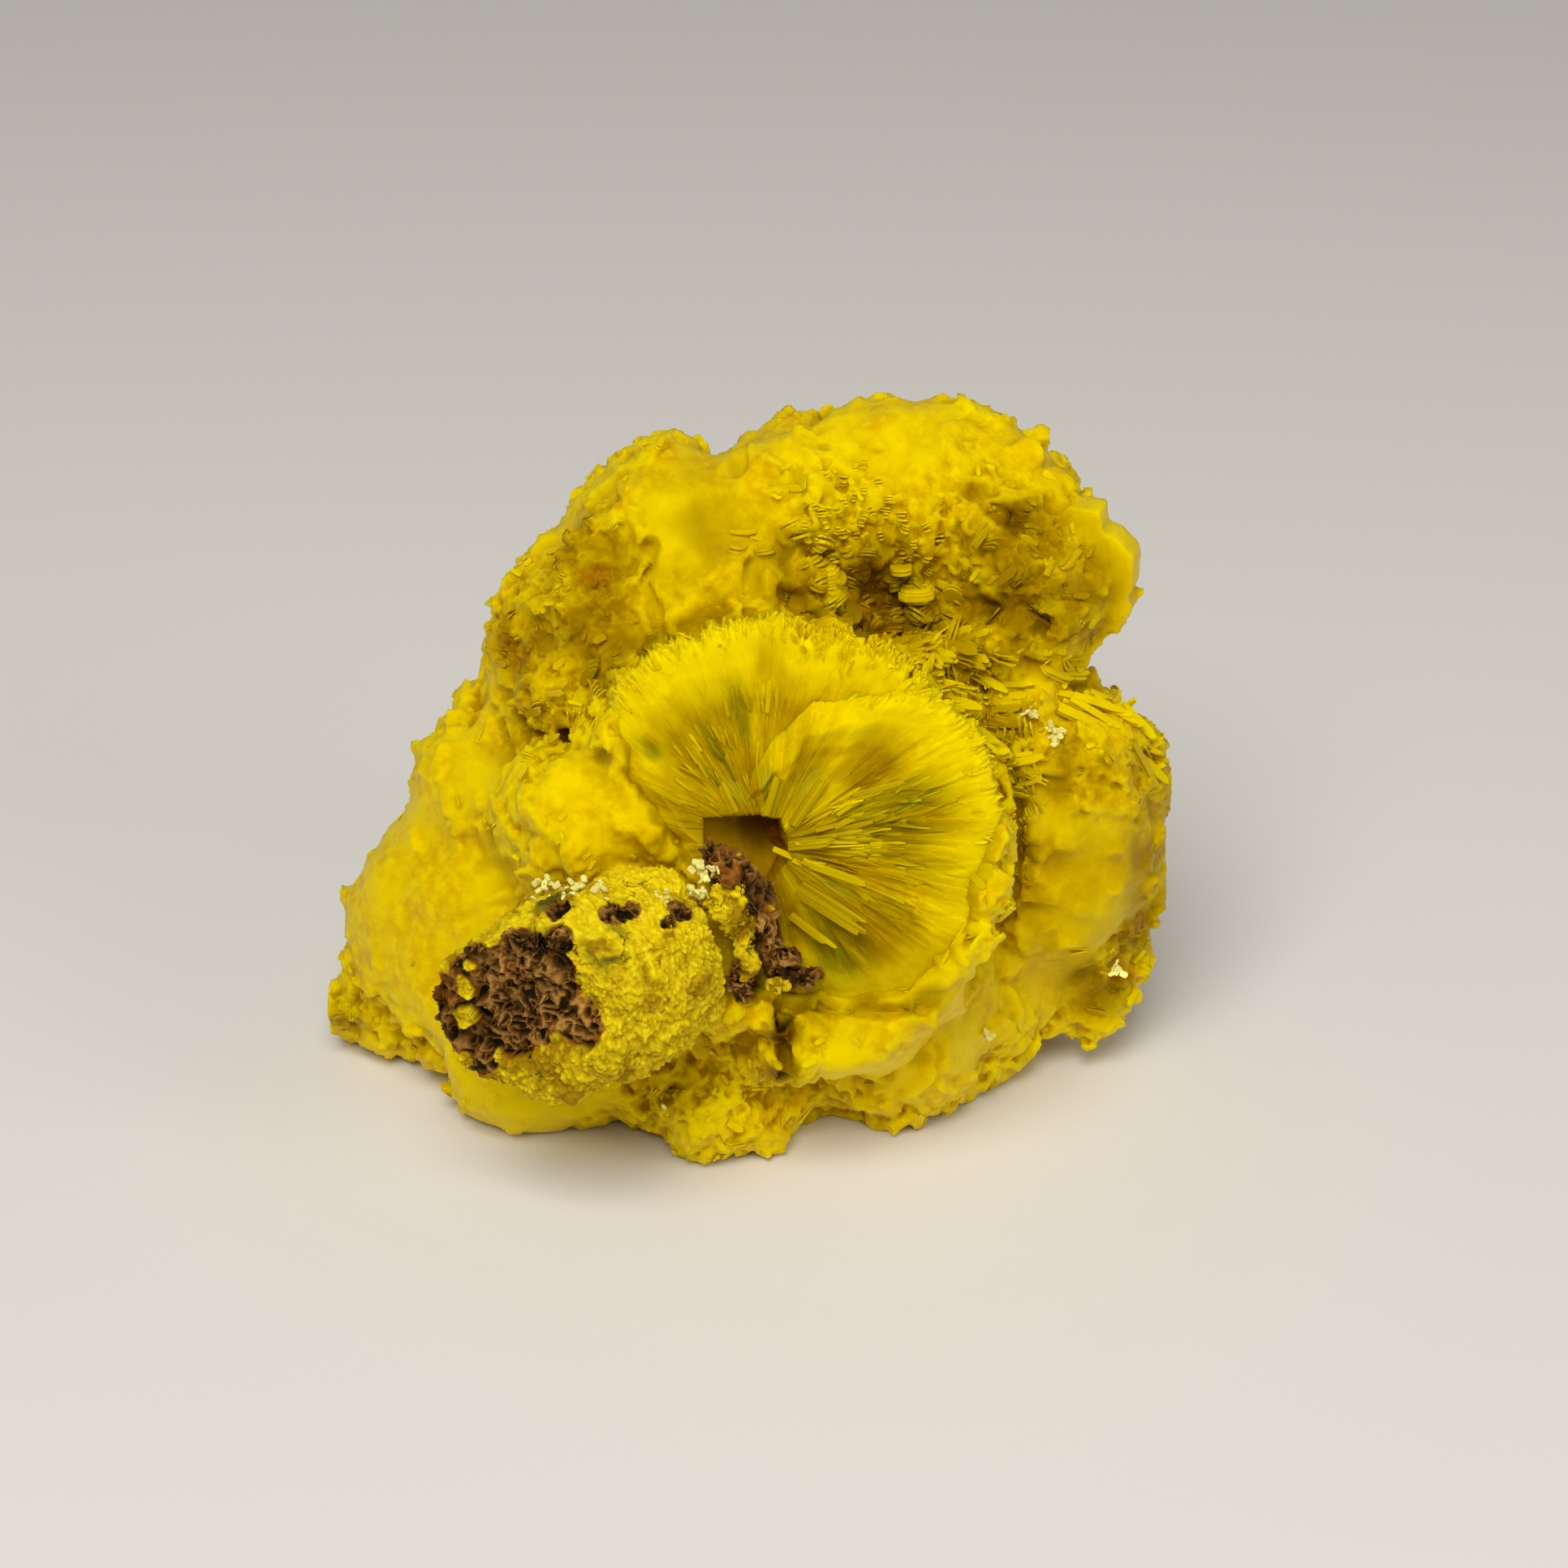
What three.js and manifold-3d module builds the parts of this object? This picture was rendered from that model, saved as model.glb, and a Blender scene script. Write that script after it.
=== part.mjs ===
// Vanuralite specimen: a lemon-yellow cluster of crystal sheaves on a stub of brown ironstone matrix.
// Millimetres. +X right, +Y back, +Z up. The origin is on the resting plane, under the middle.
// The cluster is one grown-together solid. The stub and the thin seam of matrix sit in sockets in it.
import * as THREE from 'three';
import { mergeVertices } from 'three/addons/utils/BufferGeometryUtils.js';
import Module from 'manifold-3d';

const wasm = await Module();
wasm.setup();

// ---------------------------------------------------------------- driving dimensions

const SEAT_GAP = 0.3; // clear space between matrix and crystal in a socket

// The cluster's skin, a closed surface carried out from one point inside.
const GROWTH_CENTRE = [0.5, 3.2, 8.0];
const SKIN_DETAIL = 14; // splits along an edge of the icosahedron that becomes the skin
const CROWDING = [-0.06, -0.24, -0.02]; // its corners crowd towards this side, the broken front
const EVENING_ROUNDS = 4; // passes that even out its triangles
const OUTER_REACH = 16; // farther out than any crystal
const BLEND = 0.45; // how softly two lumps run together
const WARP_SPACING = 3.4; // slow waves push the lumps out of true
const WARP_HEIGHT = 0.75;
const KNOB_SPACING = 1.5; // rounded knobs on each lump
const KNOB_HEIGHT = 0.22;
const TIP_HEIGHT = 0.11; // how far single crystal tips stand in or out

// Each lump of sheaves: where it grew from, and its half-sizes.
const LUMPS = {
  heart: { at: [0.2, 1.4, 7.4], size: [7.0, 5.2, 6.6] },
  base: { at: [0.0, 0.6, 1.6], size: [5.5, 4.0, 2.6] },
  left_toe: { at: [-10.0, 1.2, 0.9], size: [1.6, 1.5, 1.3] },
  left_flank_low: { at: [-6.4, 1.2, 3.8], size: [4.0, 3.6, 4.0] },
  left_flank_mid: { at: [-5.6, 1.8, 7.2], size: [3.5, 3.5, 4.0] },
  left_flank_high: { at: [-3.8, 2.2, 10.6], size: [3.1, 3.2, 3.8] },
  top_left: { at: [-1.8, 2.8, 14.2], size: [2.6, 2.7, 2.5] },
  top_middle: { at: [1.3, 3.0, 15.2], size: [2.3, 2.4, 2.3] },
  top_main: { at: [4.4, 3.0, 14.5], size: [2.8, 3.0, 2.9] },
  top_right: { at: [7.0, 2.7, 14.0], size: [2.4, 2.7, 2.5] },
  right_ear: { at: [8.2, 2.2, 13.1], size: [1.9, 2.0, 1.7] },
  right_neck: { at: [5.4, 2.0, 11.2], size: [2.7, 3.2, 3.0] },
  right_shoulder: { at: [8.2, 1.8, 7.9], size: [2.9, 3.0, 2.8] },
  right_flank: { at: [8.3, 1.6, 5.3], size: [2.9, 3.1, 2.9] },
  right_foot: { at: [6.1, 0.9, 2.6], size: [2.5, 2.7, 2.6] },
  right_toe: { at: [9.2, 1.5, 2.4], size: [1.8, 1.8, 1.5] },
  front_foot: { at: [3.8, -1.5, 2.4], size: [3.0, 2.7, 2.8] },
  front_tip: { at: [-0.4, -3.4, 1.2], size: [1.8, 1.9, 2.2] },
  front_left_foot: { at: [-5.0, -1.4, 1.6], size: [3.2, 2.9, 2.4] },
  front_web: { at: [-1.0, -1.7, 1.6], size: [3.4, 2.9, 2.2] },
  left_shoulder: { at: [-3.8, -1.7, 8.3], size: [2.4, 2.6, 3.0] },
  back_left_foot: { at: [-4.6, 4.4, 3.3], size: [3.6, 2.9, 3.6] },
  back_right_foot: { at: [4.4, 4.6, 3.5], size: [3.9, 2.8, 3.8] },
  back_middle: { at: [0.2, 5.0, 8.8], size: [4.0, 2.5, 3.8] },
  back_high: { at: [3.0, 4.6, 12.2], size: [3.6, 2.6, 3.2] },
};

// Hollows in the lumps, between one growth of sheaves and the next.
const HOLLOWS = {
  upper_vug: { at: [3.6, 0.2, 13.9], size: [2.1, 2.5, 1.3] },
  right_vug: { at: [6.3, -0.6, 12.2], size: [1.1, 1.8, 1.1] },
  left_crease: { at: [-4.2, -1.2, 10.8], size: [1.7, 1.2, 0.6] },
  right_groove: { at: [6.7, -1.8, 7.0], size: [0.6, 1.9, 4.2] },
};

// The broken-open fan: two tiers of a rosette of radiating blades around one small cavity.
const FAN_AT = [0.7, -3.9, 8.9];
const FAN_FACING = [0.06, -0.96, 0.27];
const FAN_THICKNESS = 4;
const FAN_RIBS = 21;
const FAN_RIDGE = 0.12; // height of the radiating ribs
// Each tier's height over the fan, and its rim radius at each bearing, in degrees
// anticlockwise from the right as seen from the front.
const BACK_TIER = {
  lift: 0,
  rim: [
    [-60, 4.4], [0, 4.9], [40, 5.4], [75, 5.5], [105, 5.4],
    [135, 5.0], [170, 3.9], [215, 3.0], [300, 4.4],
  ],
};
const FRONT_TIER = {
  lift: 0.6,
  rim: [
    [-60, 6.2], [-25, 6.0], [5, 5.7], [35, 5.3], [60, 4.2],
    [80, 2.8], [105, 1.9], [180, 1.6], [300, 6.2],
  ],
};
// The fan's section: share of the rim radius, and height towards the viewer.
const FAN_SECTION = [
  [0.0, -1.8], [0.16, -1.5], [0.24, -0.6], [0.34, -0.3], [0.5, -0.2], [0.66, -0.05],
  [0.8, 0.25], [0.92, 0.45], [1.0, 0.2], [1.06, -0.6], [1.12, -7.0],
];

// Single crystals large enough to see: flat six-sided tablets, by where they stand.
const TABLET_THICKNESS = 0.2;
const RIM_TABLETS = { count: 12, length: [0.9, 1.4], width: [0.5, 0.9] }; // on each tier's rim
const FAN_LATHS = { count: 26, length: [0.35, 0.5], width: [0.35, 0.55] }; // length as a share of the rim
const LUMP_TABLETS = { count: 1, length: [0.7, 1.1], width: [0.4, 0.8] }; // on each lump
const VUG_TABLETS = { count: 10, length: [1.3, 1.8], width: [0.8, 1.3] };

// The matrix stub: its axis from the seated end to the free end, and its radius along it.
const STUB_FROM = [-1.0, -5.1, 7.2];
const STUB_TO = [-5.35, -7.85, 6.3];
const STUB_RADII = [1.5, 1.95, 2.2, 2.35, 2.4, 2.4, 2.3, 2.15];
const STUB_SIDES = 18;
const STUB_GRAIN = 0.14; // the rock's unevenness
const STUB_HUMP = 0.3; // and its broader humps
const STUB_SAG = 1.2; // how much further the underside is from the axis than the top
const STUB_CUT = [-0.75, -0.1]; // slope of the free end's face, towards the front and towards the top
const STUB_FACE = [0.78, 0.5, 0.22]; // rings across that face, as shares of its radius

// The seam: a thin wall of matrix that follows a bent line down the front of the fan.
const SEAM_LINE = [
  [-1.0, -4.9, 9.3], [-0.2, -5.0, 8.8], [0.45, -5.1, 8.1], [0.75, -5.1, 7.2], [1.0, -4.9, 5.7],
]; // axis of the rock seam, from the edge of the cavity down
const SEAM_HALF_WIDTHS = [[0, 0.4], [0.25, 0.55], [0.5, 0.58], [0.75, 0.5], [1, 0.35]]; // along the line
const SEAM_HALF_DEPTH = 1.1;
const SEAM_GRAIN = 0.12;
const SEAM_SIDES = 10;
const SEAM_STEPS = 9;

// ---------------------------------------------------------------- chance and noise

// A repeatable number from 0 to 1 for each set of three whole numbers.
function chance(a, b = 0, c = 0) {
  let h = Math.imul(a | 0, 374761393) ^ Math.imul(b | 0, 668265263) ^ Math.imul(c | 0, 2147483647);
  h = Math.imul(h ^ (h >>> 13), 1274126177);
  h = Math.imul(h ^ (h >>> 16), 2246822519);
  return ((h ^ (h >>> 15)) >>> 0) / 4294967296;
}

// A repeatable run of numbers: each call gives the next one, between two limits.
function dice(seed) {
  let rolls = 0;
  return (low, high) => {
    rolls += 1;
    return low + (high - low) * chance(seed, rolls);
  };
}

// Smooth noise from -1 to 1: random values on a unit lattice, eased between its corners.
function noise(point) {
  const cell = [Math.floor(point.x), Math.floor(point.y), Math.floor(point.z)];
  const part = [point.x - cell[0], point.y - cell[1], point.z - cell[2]];
  const ease = part.map((t) => t * t * (3 - 2 * t));
  let sum = 0;
  for (let corner = 0; corner < 8; corner++) {
    const step = [corner & 1, (corner >> 1) & 1, corner >> 2];
    const weight = step.reduce((w, s, i) => w * (s ? ease[i] : 1 - ease[i]), 1);
    sum += weight * chance(cell[0] + step[0], cell[1] + step[1], cell[2] + step[2]);
  }
  return 2 * sum - 1;
}

const vector = (list) => new THREE.Vector3(...list);
const radians = THREE.MathUtils.degToRad;

// ---------------------------------------------------------------- solids

// A closed three.js geometry as a manifold-3d solid.
function solid(geometry) {
  const bare = geometry.clone();
  bare.deleteAttribute('normal');
  bare.deleteAttribute('uv');
  const merged = mergeVertices(bare, 1e-4);
  return new wasm.Manifold(
    new wasm.Mesh({
      numProp: 3,
      vertProperties: new Float32Array(merged.attributes.position.array),
      triVerts: new Uint32Array(merged.index.array),
    }),
  );
}

// A manifold-3d solid as a flat-shaded three.js geometry.
function geometryOf(made) {
  const mesh = made.getMesh();
  const geometry = new THREE.BufferGeometry();
  geometry.setAttribute('position', new THREE.BufferAttribute(mesh.vertProperties, 3));
  geometry.setIndex(new THREE.BufferAttribute(mesh.triVerts, 1));
  const flat = geometry.toNonIndexed();
  flat.computeVertexNormals();
  return flat;
}

// The largest of the separate bodies in a solid: crumbs cut loose by a socket fall away.
function largestBody(made) {
  const bodies = made.decompose();
  return bodies.reduce((best, body) => (body.volume() > best.volume() ? body : best));
}

// A closed surface from rings of points, each ring holding the same count, with a point at each end.
function ringSurface(rings, first, last) {
  const count = rings[0].length;
  const points = [...rings.flat(), first, last];
  const firstIndex = points.length - 2;
  const lastIndex = points.length - 1;
  const faces = [];
  for (let i = 0; i < count; i++) {
    const next = (i + 1) % count;
    faces.push(firstIndex, next, i);
    for (let r = 0; r < rings.length - 1; r++) {
      const [a, b] = [r * count + i, r * count + next];
      const [c, d] = [a + count, b + count];
      faces.push(a, b, d, a, d, c);
    }
    const base = (rings.length - 1) * count;
    faces.push(lastIndex, base + i, base + next);
  }
  const geometry = new THREE.BufferGeometry().setFromPoints(points);
  geometry.setIndex(faces);
  return geometry;
}

// ---------------------------------------------------------------- the cluster's skin

// Signed distance to a lump, near enough: negative inside.
function lumpDistance(point, { at, size }) {
  const [x, y, z] = [(point.x - at[0]) / size[0], (point.y - at[1]) / size[1], (point.z - at[2]) / size[2]];
  return (Math.hypot(x, y, z) - 1) * Math.min(...size);
}

// The smaller of two distances, rounded off where they are within the blend of each other.
function softMin(a, b, blend) {
  const share = Math.max(blend - Math.abs(a - b), 0) / blend;
  return Math.min(a, b) - (share * share * blend) / 4;
}

// The value at a place along a list of [place, value] pairs, eased between them.
function eased(list, place) {
  if (place <= list[0][0]) return list[0][1];
  const index = list.findIndex(([at]) => at >= place);
  if (index < 0) return list.at(-1)[1];
  const [[from, low], [to, high]] = [list[index - 1], list[index]];
  const share = (place - from) / (to - from);
  return low + (high - low) * share * share * (3 - 2 * share);
}

// The fan's own axes: right, up along its face, and towards the viewer.
const facing = vector(FAN_FACING).normalize();
const right = new THREE.Vector3(0, 0, 1).cross(facing).normalize();
const up = facing.clone().cross(right);

// The rim radius of a tier at a bearing in degrees.
function rimRadius(tier, bearing) {
  const first = tier.rim[0][0];
  const turned = ((((bearing - first) % 360) + 360) % 360) + first;
  return eased(tier.rim, turned);
}

// Signed distance to one tier of the fan: a shallow ribbed bowl around the cavity.
function tierDistance(point, tier) {
  const offset = point.clone().sub(vector(FAN_AT));
  const [across, along] = [offset.dot(right), offset.dot(up)];
  const bearing = THREE.MathUtils.radToDeg(Math.atan2(along, across));
  const share = Math.hypot(across, along) / rimRadius(tier, bearing);
  const ribbed = Math.min(1, Math.max(0, 2 * share - 0.4));
  const rib = Math.sin(radians(bearing) * FAN_RIBS) + noise(new THREE.Vector3(bearing / 9, 0, 0));
  const height = offset.dot(facing) - tier.lift;
  const face = height - eased(FAN_SECTION, share) - FAN_RIDGE * ribbed * rib;
  return Math.max(face * 0.8, -FAN_THICKNESS - height);
}

// Signed distance to the whole cluster: lumps run together, hollows taken out, fan added.
function clusterDistance(point) {
  const wave = point.clone().divideScalar(WARP_SPACING);
  const warp = [0, 17, 31].map((shift) => noise(wave.clone().addScalar(shift)));
  const warped = point.clone().addScaledVector(vector(warp), WARP_HEIGHT);
  let distance = Infinity;
  for (const lump of Object.values(LUMPS)) {
    distance = softMin(distance, lumpDistance(warped, lump), BLEND);
  }
  for (const hollow of Object.values(HOLLOWS)) {
    distance = -softMin(-distance, lumpDistance(warped, hollow), BLEND);
  }
  for (const tier of [BACK_TIER, FRONT_TIER]) {
    distance = softMin(distance, tierDistance(point, tier), BLEND / 2);
  }
  return distance - KNOB_HEIGHT * noise(point.clone().divideScalar(KNOB_SPACING));
}

// The point of the skin in a direction from the growth centre: walked in from outside, then halved down on.
function skinPoint(outward) {
  const centre = vector(GROWTH_CENTRE);
  const pointAt = (radius) => centre.clone().addScaledVector(outward, radius);
  let radius = OUTER_REACH;
  let distance = clusterDistance(pointAt(radius));
  while (distance > 0 && radius > 1) {
    radius -= Math.max(0.08, 0.5 * distance);
    distance = clusterDistance(pointAt(radius));
  }
  let [inside, outside] = [radius, radius + 0.5];
  for (let halving = 0; halving < 12; halving++) {
    const middle = (inside + outside) / 2;
    if (clusterDistance(pointAt(middle)) > 0) outside = middle;
    else inside = middle;
  }
  return pointAt(inside);
}

// The way out of the skin at a point, from the distances around it.
function outwardAt(point) {
  const step = 0.02;
  const rise = ['x', 'y', 'z'].map((axis) => {
    const [ahead, behind] = [point.clone(), point.clone()];
    ahead[axis] += step;
    behind[axis] -= step;
    return clusterDistance(ahead) - clusterDistance(behind);
  });
  return vector(rise).normalize();
}

// The corners that share an edge with each corner of a mesh.
function neighboursOf(index, count) {
  const neighbours = Array.from({ length: count }, () => new Set());
  for (let i = 0; i < index.length; i += 3) {
    const corners = [index[i], index[i + 1], index[i + 2]];
    corners.forEach((a) => corners.forEach((b) => a !== b && neighbours[a].add(b)));
  }
  return neighbours.map((set) => [...set]);
}

// The skin: an icosphere whose corners are carried out to the skin, evened out along it, and roughened.
function clusterSkin() {
  const sphere = new THREE.IcosahedronGeometry(1, SKIN_DETAIL);
  sphere.deleteAttribute('normal');
  sphere.deleteAttribute('uv');
  const geometry = mergeVertices(sphere);
  const position = geometry.attributes.position;
  let points = Array.from({ length: position.count }, (_, i) => {
    const outward = new THREE.Vector3().fromBufferAttribute(position, i).normalize();
    return skinPoint(outward.add(vector(CROWDING)).normalize());
  });
  const neighbours = neighboursOf(geometry.index.array, points.length);
  for (let round = 0; round < EVENING_ROUNDS; round++) {
    points = points.map((point, i) => {
      const middle = new THREE.Vector3();
      neighbours[i].forEach((j) => middle.addScaledVector(points[j], 1 / neighbours[i].length));
      const moved = point.clone().lerp(middle, 0.5);
      return moved.addScaledVector(outwardAt(moved), -clusterDistance(moved));
    });
  }
  points.forEach((point, i) => {
    point.addScaledVector(outwardAt(point), TIP_HEIGHT * (2 * chance(i) - 1));
    position.setXYZ(i, point.x, point.y, point.z);
  });
  return solid(geometry);
}

// ---------------------------------------------------------------- single crystals

// A flat six-sided tablet with a pointed free end, lying along +Z from its root.
function tabletGeometry(length, width) {
  const half = width / 2;
  const outline = new THREE.Shape([
    new THREE.Vector2(-half * 0.7, 0),
    new THREE.Vector2(half * 0.7, 0),
    new THREE.Vector2(half, length * 0.75),
    new THREE.Vector2(half * 0.35, length),
    new THREE.Vector2(-half * 0.35, length),
    new THREE.Vector2(-half, length * 0.75),
  ]);
  const geometry = new THREE.ExtrudeGeometry(outline, { depth: TABLET_THICKNESS, bevelEnabled: false });
  return geometry.translate(0, 0, -TABLET_THICKNESS / 2).rotateX(Math.PI / 2);
}

// A tablet rooted under a point of the surface, leaning along a direction and turned about it.
function tablet(point, along, { length, width, turn }) {
  const lean = along.clone().normalize();
  const zAxis = new THREE.Vector3(0, 0, 1);
  const aim = new THREE.Quaternion().setFromUnitVectors(zAxis, lean);
  aim.multiply(new THREE.Quaternion().setFromAxisAngle(zAxis, turn));
  const root = point.clone().addScaledVector(lean, -0.65 * length);
  const place = new THREE.Matrix4().compose(root, aim, new THREE.Vector3(1, 1, 1));
  return solid(tabletGeometry(length, width).applyMatrix4(place));
}

// The way from the cavity to the rim at a bearing.
function spoke(bearing) {
  const angle = radians(bearing);
  return right.clone().multiplyScalar(Math.cos(angle)).addScaledVector(up, Math.sin(angle));
}

// Tablets that stand along the rim of a tier, splayed outwards and a little forwards.
function rimTablets(tier, fromBearing, toBearing, seed) {
  const roll = dice(seed);
  const { count, length, width } = RIM_TABLETS;
  return Array.from({ length: count }, (_, i) => {
    const bearing = fromBearing + ((i + roll(0, 1)) * (toBearing - fromBearing)) / count;
    const point = vector(FAN_AT)
      .addScaledVector(spoke(bearing), 0.96 * rimRadius(tier, bearing))
      .addScaledVector(facing, tier.lift + 0.2);
    const along = spoke(bearing).addScaledVector(facing, roll(0, 0.5));
    return tablet(point, along, { length: roll(...length), width: roll(...width), turn: roll(0, Math.PI) });
  });
}

// Long laths that lie in the fan's face and radiate from the cavity.
function fanLaths(fromBearing, toBearing, frontUpTo) {
  const roll = dice(3);
  const { count, length, width } = FAN_LATHS;
  return Array.from({ length: count }, (_, i) => {
    const bearing = fromBearing + ((i + roll(0, 1)) * (toBearing - fromBearing)) / count;
    const tier = bearing < frontUpTo ? FRONT_TIER : BACK_TIER;
    const reach = rimRadius(tier, bearing);
    const point = vector(FAN_AT)
      .addScaledVector(spoke(bearing), reach * roll(0.55, 0.85))
      .addScaledVector(facing, tier.lift + 0.05);
    const along = spoke(bearing).addScaledVector(facing, 0.12);
    const turn = roll(0.35, 0.65) * Math.PI;
    return tablet(point, along, { length: reach * roll(...length), width: roll(...width), turn });
  });
}

// Tablets that stand out of a lump's outer side, above the resting plane.
function lumpTablets({ at, size }, seed) {
  const roll = dice(100 + seed);
  const { count, length, width } = LUMP_TABLETS;
  return Array.from({ length: count }, () => {
    const offset = new THREE.Vector3(roll(-0.7, 0.7), roll(-0.7, 0.7), roll(-0.4, 1.0));
    const target = offset.multiply(vector(size)).add(vector(at));
    target.z = Math.max(target.z, 2);
    const outward = target.sub(vector(GROWTH_CENTRE)).normalize();
    const splay = new THREE.Vector3(roll(-0.8, 0.8), roll(-0.8, 0.8), roll(-0.5, 1.1));
    const shape = { length: roll(...length), width: roll(...width), turn: roll(0, Math.PI) };
    return tablet(skinPoint(outward), splay.add(outward), shape);
  });
}

// Books of tablets that line the back wall of a vug, lying nearly level.
function vugTablets({ at, size }) {
  const roll = dice(4);
  const { count, length, width } = VUG_TABLETS;
  return Array.from({ length: count }, (_, i) => {
    const across = -0.9 + (1.8 * (i + roll(0, 1))) / count;
    const target = new THREE.Vector3(across, 0, roll(-0.7, 0.7)).multiply(vector(size)).add(vector(at));
    const outward = target.sub(vector(GROWTH_CENTRE)).normalize();
    const along = new THREE.Vector3(roll(-0.4, 0.4), -1, roll(-0.1, 0.4));
    const shape = { length: roll(...length), width: roll(...width), turn: roll(-0.3, 0.3) };
    return tablet(skinPoint(outward), along, shape);
  });
}

// ---------------------------------------------------------------- matrix

// The stub: rings of rock along its axis up to an oblique broken face, then rings across that face.
// Grown by a gap, it is the tool that cuts its own socket, and is left smooth.
function stub(grow = 0) {
  const [from, to] = [vector(STUB_FROM), vector(STUB_TO)];
  const length = from.distanceTo(to);
  const unit = to.clone().sub(from).normalize();
  const side = new THREE.Vector3(0, 0, 1).cross(unit).normalize();
  const top = unit.clone().cross(side);
  const wall = STUB_RADII.map((radius, ring) => ({ radius, share: ring / (STUB_RADII.length - 1) }));
  const face = STUB_FACE.map((share) => ({ radius: STUB_RADII.at(-1) * share, share: 1 }));
  const rings = [...wall, ...face].map(({ radius, share }, ring) =>
    Array.from({ length: STUB_SIDES }, (_, step) => {
      const angle = (step * 2 * Math.PI) / STUB_SIDES;
      const around = new THREE.Vector3(3 * share, 1.4 * Math.cos(angle), 1.4 * Math.sin(angle));
      const bump = noise(around.addScalar(7));
      const grain = grow ? 0 : STUB_GRAIN * (2 * chance(ring, step) - 1);
      const reach = ring < wall.length ? radius + STUB_HUMP * bump + grow + grain : radius;
      const sag = Math.sin(angle) < 0 ? STUB_SAG : 1;
      const [across, rise] = [Math.cos(angle) * reach, Math.sin(angle) * reach * sag];
      const faceAt = length + STUB_CUT[0] * across + STUB_CUT[1] * rise + grow;
      const point = from.clone().addScaledVector(side, across).addScaledVector(top, rise);
      return point.addScaledVector(unit, faceAt * share + grain);
    }),
  );
  const first = from.clone().addScaledVector(unit, -0.5 - grow);
  const last = from.clone().addScaledVector(unit, length + grow);
  return solid(ringSurface(rings, first, last));
}

// The seam: a wall of rock swept down a bent line, thickest near its upper end.
// Grown by a gap, it is the tool that cuts its own socket, and is left smooth.
function seam(grow = 0) {
  const line = new THREE.CatmullRomCurve3(SEAM_LINE.map(vector));
  const outward = new THREE.Vector3(0, -1, 0);
  const rings = Array.from({ length: SEAM_STEPS + 1 }, (_, ring) => {
    const share = ring / SEAM_STEPS;
    const side = line.getTangent(share).cross(outward).normalize();
    const taper = 0.6 + 0.4 * Math.sin(Math.PI * share);
    return Array.from({ length: SEAM_SIDES }, (_, step) => {
      const angle = (-step * 2 * Math.PI) / SEAM_SIDES;
      const grain = grow ? 0 : SEAM_GRAIN * (2 * chance(ring, step) - 1);
      const [halfWidth, halfDepth] = [eased(SEAM_HALF_WIDTHS, share) * taper, SEAM_HALF_DEPTH * taper];
      return line
        .getPoint(share)
        .addScaledVector(side, Math.cos(angle) * (halfWidth + grow + grain))
        .addScaledVector(outward, Math.sin(angle) * (halfDepth + grow + grain));
    });
  });
  const first = line.getPoint(0).addScaledVector(line.getTangent(0), -0.15 - grow);
  const last = line.getPoint(1).addScaledVector(line.getTangent(1), 0.15 + grow);
  return solid(ringSurface(rings, first, last));
}

// ---------------------------------------------------------------- assembly

// Everything under the resting plane, as one block.
function underside() {
  return solid(new THREE.BoxGeometry(60, 60, 20).translate(0, 0, -10));
}

// The cluster: its skin, with the single crystals joined on, cut off level at the resting plane.
function crystalCluster() {
  const tablets = [
    ...rimTablets(BACK_TIER, 45, 175, 1),
    ...rimTablets(FRONT_TIER, -50, 62, 2),
    ...fanLaths(-55, 175, 70),
    ...vugTablets(HOLLOWS.upper_vug),
    ...Object.values(LUMPS).flatMap(lumpTablets),
  ];
  return tablets.reduce((cluster, crystal) => cluster.add(crystal), clusterSkin()).subtract(underside());
}

const stubSolid = stub();
const seamSolid = largestBody(seam().subtract(stub(SEAT_GAP)));
const clusterSolid = largestBody(crystalCluster().subtract(stub(SEAT_GAP)).subtract(seam(SEAT_GAP)));

// ---------------------------------------------------------------- finishes and scene

const crystalFinish = new THREE.MeshStandardMaterial({ color: 0xe6c800, roughness: 0.45, flatShading: true });
const crustFinish = new THREE.MeshStandardMaterial({ color: 0xb89a10, roughness: 0.9, flatShading: true });
const rockFinish = new THREE.MeshStandardMaterial({ color: 0x4a2a12, roughness: 0.95, flatShading: true });

function named(name, made, finish) {
  const mesh = new THREE.Mesh(geometryOf(made), finish);
  mesh.name = name;
  return mesh;
}

const specimen = new THREE.Group();
specimen.add(named('crystal_cluster', clusterSolid, crystalFinish));
specimen.add(named('matrix_stub', stubSolid, crustFinish));
specimen.add(named('matrix_seam', seamSolid, rockFinish));

export default specimen;
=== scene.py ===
"""Looks of a vanuralite specimen: lemon-yellow crystal sheaves on a stub of crusted brown matrix."""

import math

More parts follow.
